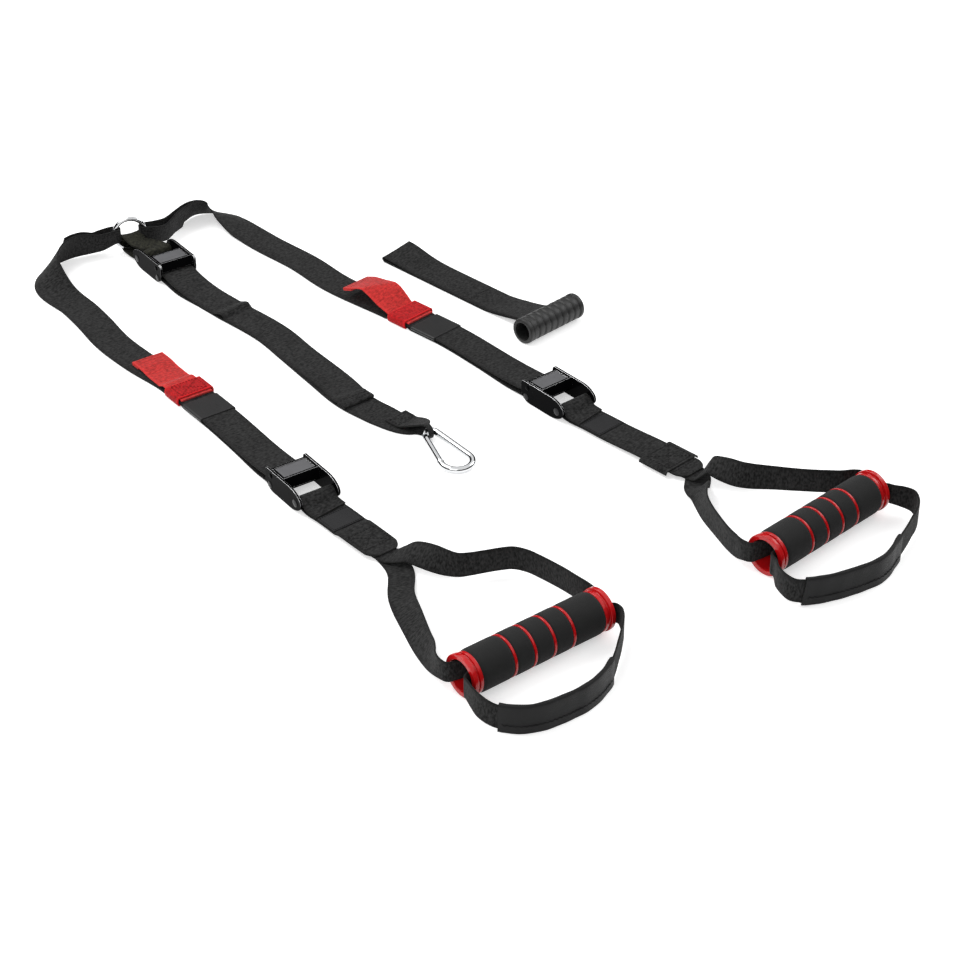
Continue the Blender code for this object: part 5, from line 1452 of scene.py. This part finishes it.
    def bar_mesh(self, part: str, radius: float) -> Mesh:
        """A bar across the cheeks with a domed head riveted over each."""
        neck, head = self.inner / 2 + self.cheek + GAP, radius + self.head_rim
        dome = arc((0, neck), (head, self.head_thick), 0, 90, 8)[1:]
        upper = [(head, neck), *map(tuple, dome)]
        line = [(r, -z) for r, z in reversed(upper)] + [(radius, -neck), (radius, neck)] + upper
        u, w = self.spot(part)
        return put(turned(line, 40), self.frame() @ Matrix.Translation((u, 0, w)) @ STAND)

    def build(self, bench: Bench) -> None:
        """Place every piece of the buckle."""
        name = f"{self.side}_buckle"
        for piece, part, mesh in (("cheeks", "frame", self.body_mesh()), ("cam", "lever", self.lever_mesh())):
            node = f"{name}_{part}"
            # The cheeks and the lever carry a painted highlight on their upper rims.
            bench.add(f"{name}_{piece}", mark_highlight_rims(mesh), "enamel", body_of(node), [node], 32, True)
        bench.add(f"{name}_panel", self.panel_mesh(), "panel", body_of(f"{name}_lever"))
        for part, radius in self.rods.items():
            paint = "enamel" if part == "cam_pin" else "steel"
            bench.stand_in(f"{name}_{part}", "turned", self.bar_mesh(part, radius), paint)
        bench.coat(frame["nodes"][f"{name}_spring"].data, "steel")


@dataclass
class Arm(Assembly):
    """One arm: its strap, the wrap on its tail, the red tab and the red keeper."""

    side: str
    thick: float = 0.0018
    keeper_thick: float = 0.0016
    wrap_thick: float = 0.0008
    pitch: float = 0.003
    fine_pitch: float = 0.0015
    hump: float = 0.0125
    lifted: float = 0.005
    crest: float = 0.47
    lean: float = 0.5
    hem_share: float = 0.8
    tab_hems: tuple[float, float] = (0.0035, 0.009)
    tab_inset: float = 0.0022
    keeper_box: float = 0.015
    keeper_inset: float = 0.0025
    thread: float = 0.0004

    def humped(self, tab: Route) -> Route:
        """The right tab as it stands: a slanted crest, and an end that stays off the strap.

        With t from 0 at the keeper to 1 at the tab's end, and u rising from 0 to 1 at the
        crest and falling back to 0, the height over the keeper is lifted times t plus hump
        times the mean of u and the sine of a quarter turn times u. The crest is slanted by
        lean, which fades in after the keeper and out before the hem.

        Args:
            tab: The tab's packed route, from under the keeper outwards.

        Returns:
            The route as it stands.
        """
        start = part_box(f"{self.side}_keeper")[0][0]
        x, level = tab.middle[:, 0], tab.middle[:, 2]
        last = int(np.argmin(x))
        t = np.clip((start - x) / (start - x[last]), 0, 1)
        u = np.minimum(t / self.crest, (1 - t) / (1 - self.crest))
        height = self.lifted * t + self.hump * (u + np.sin(math.pi / 2 * u)) / 2
        under = np.interp(-x, -x[:last + 1], level[:last + 1])
        rise = np.where(t > 0, level[0] + height - under, 0.0)
        humped = tab.relaid(tab.middle + UP * rise[:, None])
        fade = np.clip(4 * np.minimum(t, self.hem_share - t), 0, 1) * (np.arange(len(t)) <= last)
        humped.slant = self.lean * fade * np.sign(humped.across[:, 1])
        return humped

    def build(self, bench: Bench) -> None:
        """Place the four straps, and sew the red ones."""
        strap, tab_node, keeper_node, wrap = (
            f"{self.side}_{part}" for part in ("arm_strap", "pull_tab", "keeper", "tail_wrap"))
        bench.strap(strap, routed(strap, middle_of("anchor_ring"), self.pitch), self.thick, "webbing")
        keeper_at = middle_of(keeper_node)
        tab = routed(tab_node, keeper_at, self.fine_pitch)
        if self.side == "right":
            tab = self.humped(tab)
        bench.strap(tab_node, tab, self.thick, "red_webbing", rests_on=[f"{strap}_cloth"])
        below = (*keeper_at[:2], 0.0)
        keeper = routed(keeper_node, below, self.fine_pitch)
        bench.strap(keeper_node, keeper, self.keeper_thick, "red_fold", Held.FOLDED)
        bench.strap(wrap, routed(wrap, below, self.fine_pitch), self.wrap_thick, "wrap", Held.FOLDED)
        self.sew_reds(bench, tab, keeper)

    def sew_reds(self, bench: Bench, tab: Route, keeper: Route) -> None:
        """The tab's hem lines, and the box with a cross on the keeper's upper side."""
        body = body_of(f"{self.side}_arm_strap")
        outer = tab.run()[np.argmax(np.linalg.norm(tab.middle - tab.middle[0], axis=1))]
        face = Seam(tab, tab.upper(self.thick / 2))
        half = tab.breadth() / 2 - self.tab_inset
        lines = [face.over(outer - hem, half) for hem in self.tab_hems]
        bench.sew(f"{self.side}_tab_seams", lines, "red_thread", body, self.thread)
        top = keeper.nearest(middle_of(f"{self.side}_keeper") + UP * 0.02)
        seam = faced(keeper, top, 0.004, self.keeper_thick / 2)
        half = keeper.breadth() / 2 - self.keeper_inset
        lines = seam.box(top - self.keeper_box, top + self.keeper_box, half)
        bench.sew(f"{self.side}_keeper_seams", lines, "red_thread", body, self.thread)


@dataclass
class Anchor(Assembly):
    """Ring, sling, anchor strap and snap hook.

    The hook's bends have the radii small and large, span apart, and its shares are in radii of
    its wire. The sling's zones each give the distance from the ring's foot at which an effect
    starts, and the distance over which it fades in.
    """

    ring_radius: float = 0.0175
    ring_wire: float = 0.0025
    thick: float = 0.0018
    wire: float = 0.0035
    small: float = 0.007
    large: float = 0.0155
    span: float = 0.0495
    tongue: float = 0.0022
    pin_radius: float = 0.001
    pin_share: float = 1.45
    nose_share: float = 1.15
    clear: float = 0.002
    spread_at: tuple[float, ...] = (0.0110, 0.0135, 0.017, 0.022, 0.031, 0.041, 0.055, 0.071)
    spread_width: tuple[float, ...] = (0.005, 0.009, 0.016, 0.022, 0.028, 0.032, 0.0345, 0.037)
    flap_width: float = 0.028
    flap_lean: float = 0.62
    flap_box: tuple[float, float, float] = (0.003, 0.016, 0.011)
    tail_end: float = 0.012
    tail_hems: tuple[float, float] = (0.005, 0.011)
    hem_half: float = 0.0165
    sling_lift: float = 0.009
    lift_zone: tuple[float, float] = (0.036, 0.028)
    width_zone: tuple[float, float] = (0.034, 0.016)
    cup_zone: tuple[float, float] = (0.020, 0.012)
    sling_layers: tuple[float, float] = (0.0047, 0.0122)
    sling_growth: float = 0.0055

    def ring_mesh(self) -> Mesh:
        """The ring: a circle in its own plane, stood up and turned to its place."""
        turn = np.linspace(0, math.tau, 128, endpoint=False)
        mesh = wire(self.ring_radius * np.stack([np.cos(turn), np.sin(turn)], -1), self.ring_wire, 32, True)
        side = northward(joint("anchor_swing")["axis"])
        return put(mesh, axes(middle_of("anchor_ring"), side, UP, np.cross(side, UP)))

    def hook_frame(self) -> Matrix:
        """The hook's own frame, from the axes of its two joints."""
        swing = joint("carabiner_swing")
        y, z = northward(swing["axis"]), unit(np.array(joint("carabiner_gate_open")["axis"], dtype=float))
        return axes(swing["pos_m"], np.cross(y, z), y, z)

    def hook_lines(self) -> tuple[Array, Array, Array, float]:
        """First and last place of the gate's line, its direction, and the angle of the spine."""
        lean = math.asin((self.large - self.small) / self.span)
        out = np.array((-math.sin(lean), -math.cos(lean)))
        start = np.array((self.small, 0)) + out * self.small
        end = np.array((self.small + self.span, 0)) + out * self.large
        return start, end, unit(end - start), 90 + math.degrees(lean)

    def pin_place(self) -> Array:
        """Where the gate's pin crosses the gate's line."""
        start, _, along, _ = self.hook_lines()
        return start + along * self.pin_share * self.wire

    def flats(self, place: Array, along: Array, length: float) -> list[Mesh]:
        """Two blocks that leave a flat tongue in the hook's plane."""
        reach, half = self.wire + self.clear, self.tongue / 2
        return [put(slab((0, -reach, low), (length, reach, high)), on_line(place, along))
                for low, high in ((-reach, -half), (half, reach))]

    def hook_mesh(self) -> Mesh:
        """The hook's body: large bend, spine, small bend and two flat tongues."""
        start, end, along, spine = self.hook_lines()
        nose = np.linspace(end - along * self.nose_share * self.wire, end, 6)[:-1]
        foot = np.linspace(start, self.pin_place() + along * 0.7 * self.wire, 6)[1:]
        path = np.concatenate([nose, arc((self.small + self.span, 0), self.large, -spine, spine, 72),
                               arc((self.small, 0), self.small, spine, 360 - spine, 48), foot])
        keep = np.concatenate([[True], np.linalg.norm(np.diff(path, axis=0), axis=1) > 1e-6])
        cuts = self.flats(start + along * 0.05 * self.wire, along, 4 * self.wire)
        cuts += self.flats(end - along * 2 * self.wire, along, 2 * self.wire)
        return softened(joined(wire(path[keep], self.wire, 40), cuts, "DIFFERENCE"), 0.00025, 2)

    def gate_mesh(self) -> Mesh:
        """The gate: a forked rod with a notch for the nose."""
        _, end, along, _ = self.hook_lines()
        pin = self.pin_place()
        path = np.linspace(pin - along * 0.80 * self.wire, end - along * 0.30 * self.wire, 12)
        slot, wide = self.tongue / 2 + GAP, self.wire + self.clear
        fork = slab((-2 * self.wire, -wide, -slot), (self.pin_share * self.wire, wide, slot))
        notch = slab((-self.nose_share * self.wire - 2 * GAP, -wide, -slot), (self.wire, wide, slot))
        cuts = [put(fork, on_line(pin, along)), put(notch, on_line(end, along))]
        return softened(joined(wire(path, self.wire - GAP, 40), cuts, "DIFFERENCE"), 0.0003, 2)

    def build(self, bench: Bench) -> None:
        """Place the anchor's pieces."""
        ring = middle_of("anchor_ring")
        bench.stand_in("anchor_ring", "wire", self.ring_mesh(), "chrome")
        sling = self.gathered(routed("anchor_ring_loop", ring, 0.0015, True))
        bench.strap("anchor_ring_loop", sling, self.thick, "loop", Held.FOLDED, ["anchor_ring"])
        corners, closed = sections("anchor_strap", middle_of("carabiner_body"))
        strap = smoothed(self.spread(corners), closed, 0.0025)
        bench.strap("anchor_strap", strap, self.thick, "webbing")
        self.sew_strap(bench, strap)
        pin = put(rod(self.pin_radius, self.wire - 0.0004, 0.0003, 24),
                  Matrix.Translation((*self.pin_place(), 0)))
        for piece, part, mesh in (("hook", "body", self.hook_mesh()), ("latch", "gate", self.gate_mesh()),
                                  ("rivet", "gate_pin", pin)):
            node = f"carabiner_{part}"
            bench.add(f"carabiner_{piece}", put(mesh, self.hook_frame()), "chrome", body_of(node), [node])
        bench.coat(frame["nodes"]["carabiner_gate_spring"].data, "steel")

    def gathered(self, sling: Route) -> Route:
        """The sling cupped along the ring's wire, eased wider and sprung open towards it.

        Each effect grows as a smooth step in its own zone before the ring's foot. The cup is
        that step over twice the ring's radius, less on the upper layer; the width grows by
        sling_growth times its step; and the upper layer rises by sling_lift times its own.

        Args:
            sling: The sling's packed route.

        Returns:
            The eased route.
        """
        away = np.linalg.norm(sling.middle - np.array(joint("anchor_swing")["pos_m"]), axis=1)
        lift, growth, tight = (eased(np.clip((start - away) / fade, 0, 1))
                               for start, fade in (self.lift_zone, self.width_zone, self.cup_zone))
        low, high = self.sling_layers
        upper = np.clip((sling.middle[:, 2] - low) / (high - low), 0, 1)
        rise = self.sling_lift * upper * lift
        eased_sling = sling.relaid(sling.middle + UP * rise[:, None])
        eased_sling.width = sling.width + self.sling_growth * growth + rise / 3
        eased_sling.cup = (1 - 0.6 * upper) * tight / (2 * (self.ring_radius + 0.001))
        return eased_sling

    def spread(self, corners: Array) -> Array:
        """The strap's sections, kept wide up to the hook, with the flap laid along the strap.

        The width is read from a table over the distance from the strap's tip in the hook. A
        section of the flap moves towards the strap below it, across the strap, by a share of
        the gap that grows with that distance.

        Args:
            corners: Packed sections, from the flap's end round the hook and on.

        Returns:
            The changed sections.
        """
        middle = corners.mean(1)
        swing = np.array(joint("carabiner_swing")["pos_m"])
        tip = int(np.argmax((middle - swing)[:30] @ unit(middle_of("carabiner_body") - swing)))
        away = np.linalg.norm(middle - middle[tip], axis=1)
        wide = corners[:, 1] - corners[:, 0]
        width = np.linalg.norm(wide, axis=1)
        want = np.maximum(width, np.interp(away, self.spread_at, self.spread_width))
        want[:tip] = np.minimum(want[:tip], self.flap_width)
        across = unit(wide)
        aside = ((corners - middle[:, None]) * across[:, None]).sum(2)
        grown = corners + across[:, None] * (aside * (want / width - 1)[:, None])[..., None]
        below = middle[tip + 1:][::-1]
        order = np.argsort(below[:, 0])
        gap = np.interp(middle[:tip, 0], below[order, 0], below[order, 1]) - middle[:tip, 1]
        share = self.flap_lean * np.clip((away[:tip] - 0.012) / 0.03, 0, 1)
        grown[:tip, :, 1] += (gap * share)[:, None]
        return grown

    def sew_strap(self, bench: Bench, strap: Route) -> None:
        """Box on the flap over the eye, and the hem of the tail."""
        lines = faced(strap, 0.005, 0.005, self.thick / 2).box(*self.flap_box)
        end = strap.length() - self.tail_end
        tail = faced(strap, end - 0.013, 0.007, self.thick / 2)
        lines += [tail.over(end - inset, self.hem_half) for inset in self.tail_hems]
        bench.sew("anchor_strap_seams", lines, "thread", body_of("anchor_strap"))


@dataclass
class Handle(Assembly):
    """One handle: tether, label, legs, grip, foot loop and its sleeve.

    The foam shares are the lengths of the two outer sleeves, out of the room between the end
    ridges less the four ribs.
    """

    side: str
    thick: float = 0.0018
    pitch: float = 0.002
    tether_hem: float = 0.003
    hem_half: float = 0.0165
    split_box: tuple[float, float, float] = (0.040, 0.014, 0.0155)
    label_thick: float = 0.0007
    label_inset: float = 0.0012
    sleeve_thick: float = 0.0012
    sleeve_width: float = 0.028
    seam_share: float = 0.22
    zigzag: tuple[float, float] = (0.0022, 0.0011)
    patch_thick: float = 0.001
    patch_width: float = 0.046
    patch_flat: float = 0.050
    patch_drop: float = 0.0036
    shoulder: float = 0.0198
    length: float = 0.156
    radius: float = 0.0205
    bore: float = 0.0155
    foam_radius: float = 0.020
    foam_shares: tuple[float, float] = (0.272, 0.152)
    foam_swell: float = 0.0001
    foam_fall: float = 0.0011
    seat: float = 0.0165
    flange: float = 0.0045
    groove: float = 0.0025
    groove_depth: float = 0.0028
    ridge: float = 0.0035
    ridge_drop: float = 0.001
    rib: float = 0.0025

    def core_mesh(self) -> Mesh:
        """The moulded core: flanges, end ridges, four ribs and a bore right through."""
        half = self.length / 2
        groove, ridge = self.radius - self.groove_depth, self.radius - self.ridge_drop
        at = half - self.flange
        upper = [(self.radius, half), (self.radius, at), (groove, at), (groove, at - self.groove)]
        at -= self.groove
        upper += [(ridge, at), (ridge, at - self.ridge)]
        at -= self.ridge
        upper += [(self.seat, at)]
        room = 2 * at - 4 * self.rib
        for share in self.foam_shares:
            at -= share * room
            upper += [(self.seat, at), (self.foam_radius, at), (self.foam_radius, at - self.rib),
                      (self.seat, at - self.rib)]
            at -= self.rib
        line = upper + [(r, -z) for r, z in reversed(upper)] + [(self.bore, -half), (self.bore, half)]
        return turned(rounded(line, 0.0009, True, 5), ROUND, True)

    def foam_mesh(self, length: float) -> Mesh:
        """A foam sleeve, whose radius falls towards its ends by the fourteenth power."""
        half, inner = length / 2 - GAP, self.seat + GAP
        along = np.linspace(-1, 1, 28)
        outer = self.foam_radius + self.foam_swell - self.foam_fall * np.abs(along) ** 14
        return turned([*zip(outer, along * half), (inner, half), (inner, -half)], ROUND, True)

    def sleeve_mesh(self, route: Route) -> Mesh:
        """Cloth folded over the foot loop: open below, round over its upper edge.

        The section runs up one side, over the top and down the other, and is swept as the
        straps are, with a soft swell along its length as a sum of two sines.
        """
        out, top = self.thick / 2 + GAP + self.sleeve_thick / 2, self.sleeve_width / 2
        flat = np.linspace(-top, top - out, 9)[:-1]
        side = np.full(8, out)
        loop = shell_section(np.concatenate([np.c_[-side, flat], arc((0, top - out), out, 180, 0, 10),
                                             np.c_[side, flat[::-1]]]), self.sleeve_thick)
        run = route.run()
        swell = 0.00012 / out * (np.sin(run * 310) + np.sin(run * 170 + 1))
        aside = loop[None, :, :1] * (1 + swell)[:, None, None]
        up = facing_up(route.across)[:, None] * loop[None, :, 1:]
        grid = route.middle[:, None] + route.normal[:, None] * aside + up
        return swept("sleeve", grid, np.append(run, run[-1]), loop)

    def patch_mesh(self, route: Route, rise: float) -> Mesh:
        """The sewn patch over the tether, whose edges hang down beside it."""
        left = [(-self.patch_width / 2, -self.patch_drop),
                (0.0006 - self.patch_width / 2, -self.patch_drop / 3), (-self.shoulder, 0.0)]
        knots = left + [(-aside, level) for aside, level in reversed(left)]
        loop = shell_section(np.array(rounded(knots, 0.0012)), self.patch_thick)
        up = facing_up(route.normal)[:, None] * (loop[None, :, 1:] + rise)
        grid = route.middle[:, None] + route.across[:, None] * loop[None, :, :1] + up
        run = route.run()
        mesh = swept("patch", grid, np.append(run, run[-1]), loop)
        return marked(mesh, "selvedge", np.zeros(len(mesh.vertices)))

    @staticmethod
    def covered(route: Route, node: str) -> Route:
        """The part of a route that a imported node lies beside."""
        points = points_of(frame["nodes"][node].data)
        gap = np.linalg.norm(points[:, None] - route.middle[None], axis=2)
        beside = route.run()[gap.argmin(1)]
        return route.stretch(float(beside.min()), float(beside.max()))

    def build(self, bench: Bench) -> None:
        """Place the handle's pieces."""
        tether_node, legs, label_node = (
            f"{self.side}_{part}" for part in ("handle_tether", "handle_webbing", "label_patch"))
        bar = middle_of(f"{self.side}_buckle_webbing_bar")
        tether = routed(tether_node, bar, self.pitch)
        bench.strap(tether_node, tether, self.thick, "webbing")
        bench.strap(legs, routed(legs, bar, self.pitch), self.thick, "webbing")
        label = routed(label_node, bar, self.pitch / 2)
        bench.strap(label_node, label, self.label_thick, "label", rests_on=[f"{tether_node}_cloth"])
        self.sew_tether(bench, tether, label)
        self.add_grip(bench)
        self.add_foot(bench)

    def add_grip(self, bench: Bench) -> None:
        """The moulded core and the five foam sleeves between its ribs."""
        grip = flat_joint_frame(f"{self.side}_grip_spin")
        core = f"{self.side}_grip_core"
        bench.add(f"{self.side}_grip_moulding", put(self.core_mesh(), grip @ LAY), "red_plastic",
                  body_of(core), [core])
        inverse = np.array(grip.inverted())
        for number in range(1, 6):
            node = f"{self.side}_grip_foam_{number}"
            y = points_of(frame["nodes"][node].data) @ inverse[1, :3] + inverse[1, 3]
            place = grip @ Matrix.Translation((0, (y.min() + y.max()) / 2, 0)) @ LAY
            mesh = put(self.foam_mesh(float(np.ptp(y)) + 2 * GAP), place)
            foam = bench.stand_in(node, "skin", mesh, "foam")

    def add_foot(self, bench: Bench) -> None:
        """The foot loop and the sleeve sewn round it, with a zigzag line on each side."""
        node, sleeve_node = f"{self.side}_foot_webbing", f"{self.side}_foot_sleeve"
        loop = routed(node, middle_of(sleeve_node), self.pitch, True)
        bench.strap(node, loop, self.thick, "webbing")
        route = self.covered(loop, sleeve_node)
        sleeve = bench.cloth(sleeve_node, self.sleeve_mesh(route), "sleeve")
        out = self.thick / 2 + GAP + self.sleeve_thick
        route.across = facing_up(route.across)
        pitch, swing = self.zigzag
        steps = np.arange(0.003, route.length() - 0.003, pitch)
        places = np.c_[steps, swing * (-1.0) ** np.arange(len(steps)) - self.sleeve_width * self.seam_share]
        lines = []
        for face in (-1, 1):
            starts, ends, up = Seam(route, face * out, 0.0016, 0.0014).along(places)
            lines.append((starts, ends, up * face))
        bench.sew(f"{self.side}_sleeve_seams", lines, "thread", body_of(sleeve_node), 0.0005)

    def sew_tether(self, bench: Bench, tether: Route, label: Route) -> None:
        """Hem line behind the bar, the label's edge and the box over the split."""
        half, end, inset = self.thick / 2, tether.length(), self.label_inset
        lines = [faced(tether, 0.005, 0.005, half).over(self.tether_hem, self.hem_half)]
        start, stop, aside = self.split_box
        lines += faced(tether, end - 0.030, 0.010, half).box(end - start, end - stop, aside)
        edge = Seam(label, label.upper(self.label_thick / 2), 0.0026, 0.002)
        lines += edge.box(inset, label.length() - inset, label.breadth() / 2 - inset, False)
        if self.side == "right":
            lines += self.add_patch(bench, tether)
        bench.sew(f"{self.side}_tether_seams", lines, "thread", body_of(f"{self.side}_handle_tether"))

    def add_patch(self, bench: Bench, tether: Route) -> list[Stitches]:
        """The patch over the right tether; its stitches are given back."""
        node = "right_tether_wrap"
        route = self.covered(tether, node)
        rise = self.thick / 2 + GAP + self.patch_thick / 2
        patch = bench.cloth(node, self.patch_mesh(route, rise), "webbing")
        route.length()
        over = Seam(route, route.upper(rise + self.patch_thick / 2))
        return over.box(self.tether_hem, route.length() - self.tether_hem, self.hem_half)


@dataclass
class DoorAnchor(Assembly):
    """Folded strap round a dowel inside a ribbed rubber tube.

    A rib's profile gives, for each point, how deep it lies as a share of the groove's depth and
    how far along as a share of the ribs' pitch.
    """

    thick: float = 0.0018
    length: float = 0.081
    radius: float = 0.014
    bore: float = 0.010
    ribs: int = 8
    rib_profile: tuple[tuple[float, float], ...] = ((1.0, 0.05), (1.0, 0.22), (0.2, 0.34), (0.2, 0.92))
    dowel_radius: float = 0.004
    dowel_length: float = 0.060
    slot_width: float = 0.0418
    slot_height: float = 0.011
    puff: float = 0.0055
    puff_reach: float = 0.034
    puff_tilt: float = 0.15
    fold_reach: float = 0.004
    groove_share: float = 0.09
    rim_share: float = 0.06
    seams: tuple[float, float] = (0.105, 0.027)
    seam_half: float = 0.018
    seam_height: float = 0.004

    def tube_mesh(self) -> Mesh:
        """The tube: flanged rims, rounded ribs, a bore and the slot for the strap.

        Its rim attribute is the square of how far a point stands up on a rib; there the rubber's finish
        paints a highlight.
        """
        half, depth, rim = self.length / 2, self.groove_share * self.radius, self.rim_share * self.length
        pitch = (2 * half - 2 * rim) / self.ribs
        line = [(self.bore, half), (self.radius - depth / 2, half), (self.radius, half - depth),
                (self.radius, half - rim + 0.2 * depth)]
        for rib in range(self.ribs):
            line += [(self.radius - deep * depth, half - rim - (rib + share) * pitch)
                     for deep, share in self.rib_profile]
        line += [(self.radius - depth, rim - half - 0.02 * pitch), (self.radius, rim - half - 0.2 * depth),
                 (self.radius, depth - half), (self.radius - depth / 2, -half), (self.bore, -half)]
        slot = slab((-self.radius - 0.002, -self.slot_width / 2, -self.slot_height / 2),
                    (-self.bore / 3, self.slot_width / 2, self.slot_height / 2))
        tube = put(turned(rounded(line, 0.0005, True, 3), ROUND, True), LAY)
        tube = joined(tube, [slot], "DIFFERENCE")
        points = points_of(tube)
        reach = np.hypot(points[:, 0], points[:, 2])
        # How far a point stands up on a rib, for the painted highlight on the crests.
        crest_highlight = np.clip((reach - self.radius + 0.55 * depth) / (0.35 * depth), 0, 1)
        return marked(tube, "rim", crest_highlight ** 2)

    def build(self, bench: Bench) -> None:
        """Place the door anchor's pieces."""
        local = flat_joint_frame("door_tube_roll")
        strap = self.puffed(routed("door_anchor_webbing", middle_of("door_anchor_tube"), 0.002, True))
        bench.strap("door_anchor_webbing", strap, self.thick, "webbing", Held.FOLDED)
        bench.add("door_tube_skin", put(self.tube_mesh(), local), "rubber", body_of("door_anchor_tube"),
                  ["door_anchor_tube"], 50)
        dowel = rod(self.dowel_radius, self.dowel_length / 2, self.dowel_radius / 4, 40)
        bench.add("door_dowel_turned", put(dowel, local @ LAY), "black_plastic",
                  body_of("door_anchor_dowel"), ["door_anchor_dowel"])
        lines = []
        for back in self.seams:
            at = strap.nearest(local @ Vector((-back, 0, self.seam_height - self.radius)))
            lines.append(faced(strap, at, 0.003, self.thick / 2).over(at, self.seam_half))
        bench.sew("door_anchor_seams", lines, "thread", "base")

    def puffed(self, strap: Route) -> Route:
        """The strap with its folded end sprung open.

        The upper layer rises by puff times the exponential of minus the square of its distance
        from the fold over reach, more on its far side, by a tilt that fades in the same way.
        The fold's own rows bulge outwards as the sine of half a turn times their height's share.

        Args:
            strap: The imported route.

        Returns:
            The sprung route.
        """
        x, z = strap.middle[:, 0], strap.middle[:, 2]
        fold = z[np.argsort(x)[:40]]
        share, away = np.clip((z - fold.min()) / np.ptp(fold), 0, 1), x - x.min()
        near = share * np.exp(-(away / self.puff_reach) ** 2)
        bulge = self.puff / 3 * np.sin(math.pi * share) * np.exp(-(away / self.fold_reach) ** 2)
        tilt = self.puff_tilt * near * np.sign(strap.across[:, 1])
        strap.across = unit(strap.across + UP * tilt[:, None])
        return strap.relaid(strap.middle + np.stack([-bulge, bulge * 0, self.puff * near], -1))


@dataclass
class Studio:
    """Pale floor, soft lamps, and the camera at the photograph's angle.

    A lamp has its name, place, size and power.
    """

    place: tuple[float, float, float] = (1.6135, -1.2606, 1.2610)
    aim: tuple[float, float] = (-0.766, 0.643)
    pitch: float = 33.23
    lens: float = 90.0
    floor_half: float = 14.0
    floor_glow: float = 0.5
    wall_radius: float = 3.9
    wall_span: tuple[float, float] = (0.05, 2.3)
    world_light: float = 0.55
    lamps: tuple[tuple[str, Place, float, float], ...] = (
        ("key", (-1.1, -0.6, 2.0), 1.6, 34.0), ("fill", (1.2, -1.8, 1.6), 1.8, 16.0),
        ("rim", (0.4, 2.0, 1.4), 1.2, 14.0))

    @staticmethod
    def set_piece(name: str, points: Array, faces: Sequence[Sequence[int]], g: Graph) -> Item:
        """A mesh of the studio in one material."""
        mesh = bpy.data.meshes.new(name)
        mesh.from_pydata(points.tolist(), [], faces)
        mesh.materials.append(g.owner)
        return linked(name, mesh)

    def add_floor(self) -> None:
        """A pale floor that shows near white to the camera and keeps the shadow."""
        half, low = self.floor_half, -0.0004
        points = np.array([(-half, -half, low), (half, -half, low), (half, half, low), (-half, half, low)])
        g = Graph(bpy.data.materials.new("pale_floor"))
        g.set(Base_Color=(0.86, 0.86, 0.86), Roughness=0.9, Specular_IOR_Level=0.1,
              Emission_Color=(1.0, 1.0, 1.0), Emission_Strength=g.math("MULTIPLY", g.seen(), self.floor_glow))
        floor = self.set_piece("floor", points, [(0, 1, 2, 3)], g)

    def add_walls(self) -> None:
        """Dark walls round the floor that only gloss meets, to edge the metal."""
        count = 64
        turn = np.linspace(0, math.tau, count, endpoint=False)
        x, y = self.wall_radius * np.cos(turn), self.wall_radius * np.sin(turn)
        points = np.concatenate([np.c_[x, y, np.full(count, level)] for level in self.wall_span])
        k = np.arange(count)
        beside = (k + 1) % count
        faces = np.stack([k, beside, beside + count, k + count], -1).tolist()
        g = Graph(bpy.data.materials.new("dark_wall"))
        g.set(Base_Color=(0.02, 0.02, 0.02), Roughness=1.0, Specular_IOR_Level=0.0)
        walls = self.set_piece("walls", points, faces, g)
        for ray in ("camera", "diffuse", "shadow", "transmission", "volume_scatter"):
            setattr(walls, f"visible_{ray}", False)

    def add_world(self) -> None:
        """White round the object for the camera and for gloss, softer as a light."""
        world = bpy.data.worlds.new("studio")
        bpy.context.scene.world = world
        g = Graph(world, "Background")
        g.set(Color=(1.0, 1.0, 1.0), Strength=g.span(g.seen(), self.world_light, 1.0))

    def add_lamps(self) -> None:
        """Square soft lamps that look at the object."""
        for name, place, size, power in self.lamps:
            lamp = bpy.data.lights.new(name, "AREA")
            lamp.size = size
            lamp.energy = power
            item = linked(name, lamp)
            item.location = place
            item.rotation_euler = (-Vector(place)).to_track_quat("-Z", "Y").to_euler()

    def add_camera(self) -> None:
        """The camera at its place, aimed down at the pitch."""
        camera = bpy.data.cameras.new("view")
        camera.lens = self.lens
        camera.sensor_width = 36.0
        camera.sensor_fit = "HORIZONTAL"
        item = linked("view", camera)
        pitch = math.radians(self.pitch)
        aim = Vector((*(unit(np.array(self.aim)) * math.cos(pitch)), -math.sin(pitch)))
        item.location = self.place
        item.rotation_euler = aim.to_track_quat("-Z", "Y").to_euler()
        bpy.context.scene.camera = item

    def build(self) -> None:
        """Place the whole studio."""
        self.add_camera()
        self.add_floor()
        self.add_walls()
        self.add_world()
        self.add_lamps()
        bpy.context.scene.view_settings.view_transform = "Standard"


def main() -> None:
    """Build the studio and every sub-assembly in order."""
    logging.basicConfig(level=logging.INFO, format="%(name)s: %(message)s")
    Studio().build()
    bench = Bench()
    arms = [made(side) for side in ("left", "right") for made in (Arm, Handle)]
    buckles = [CamBuckle(side) for side in ("anchor", "left", "right")]
    for assembly in (Anchor(), *arms, *buckles, DoorAnchor()):
        assembly.build(bench)


if __name__ == "__main__":
    main()
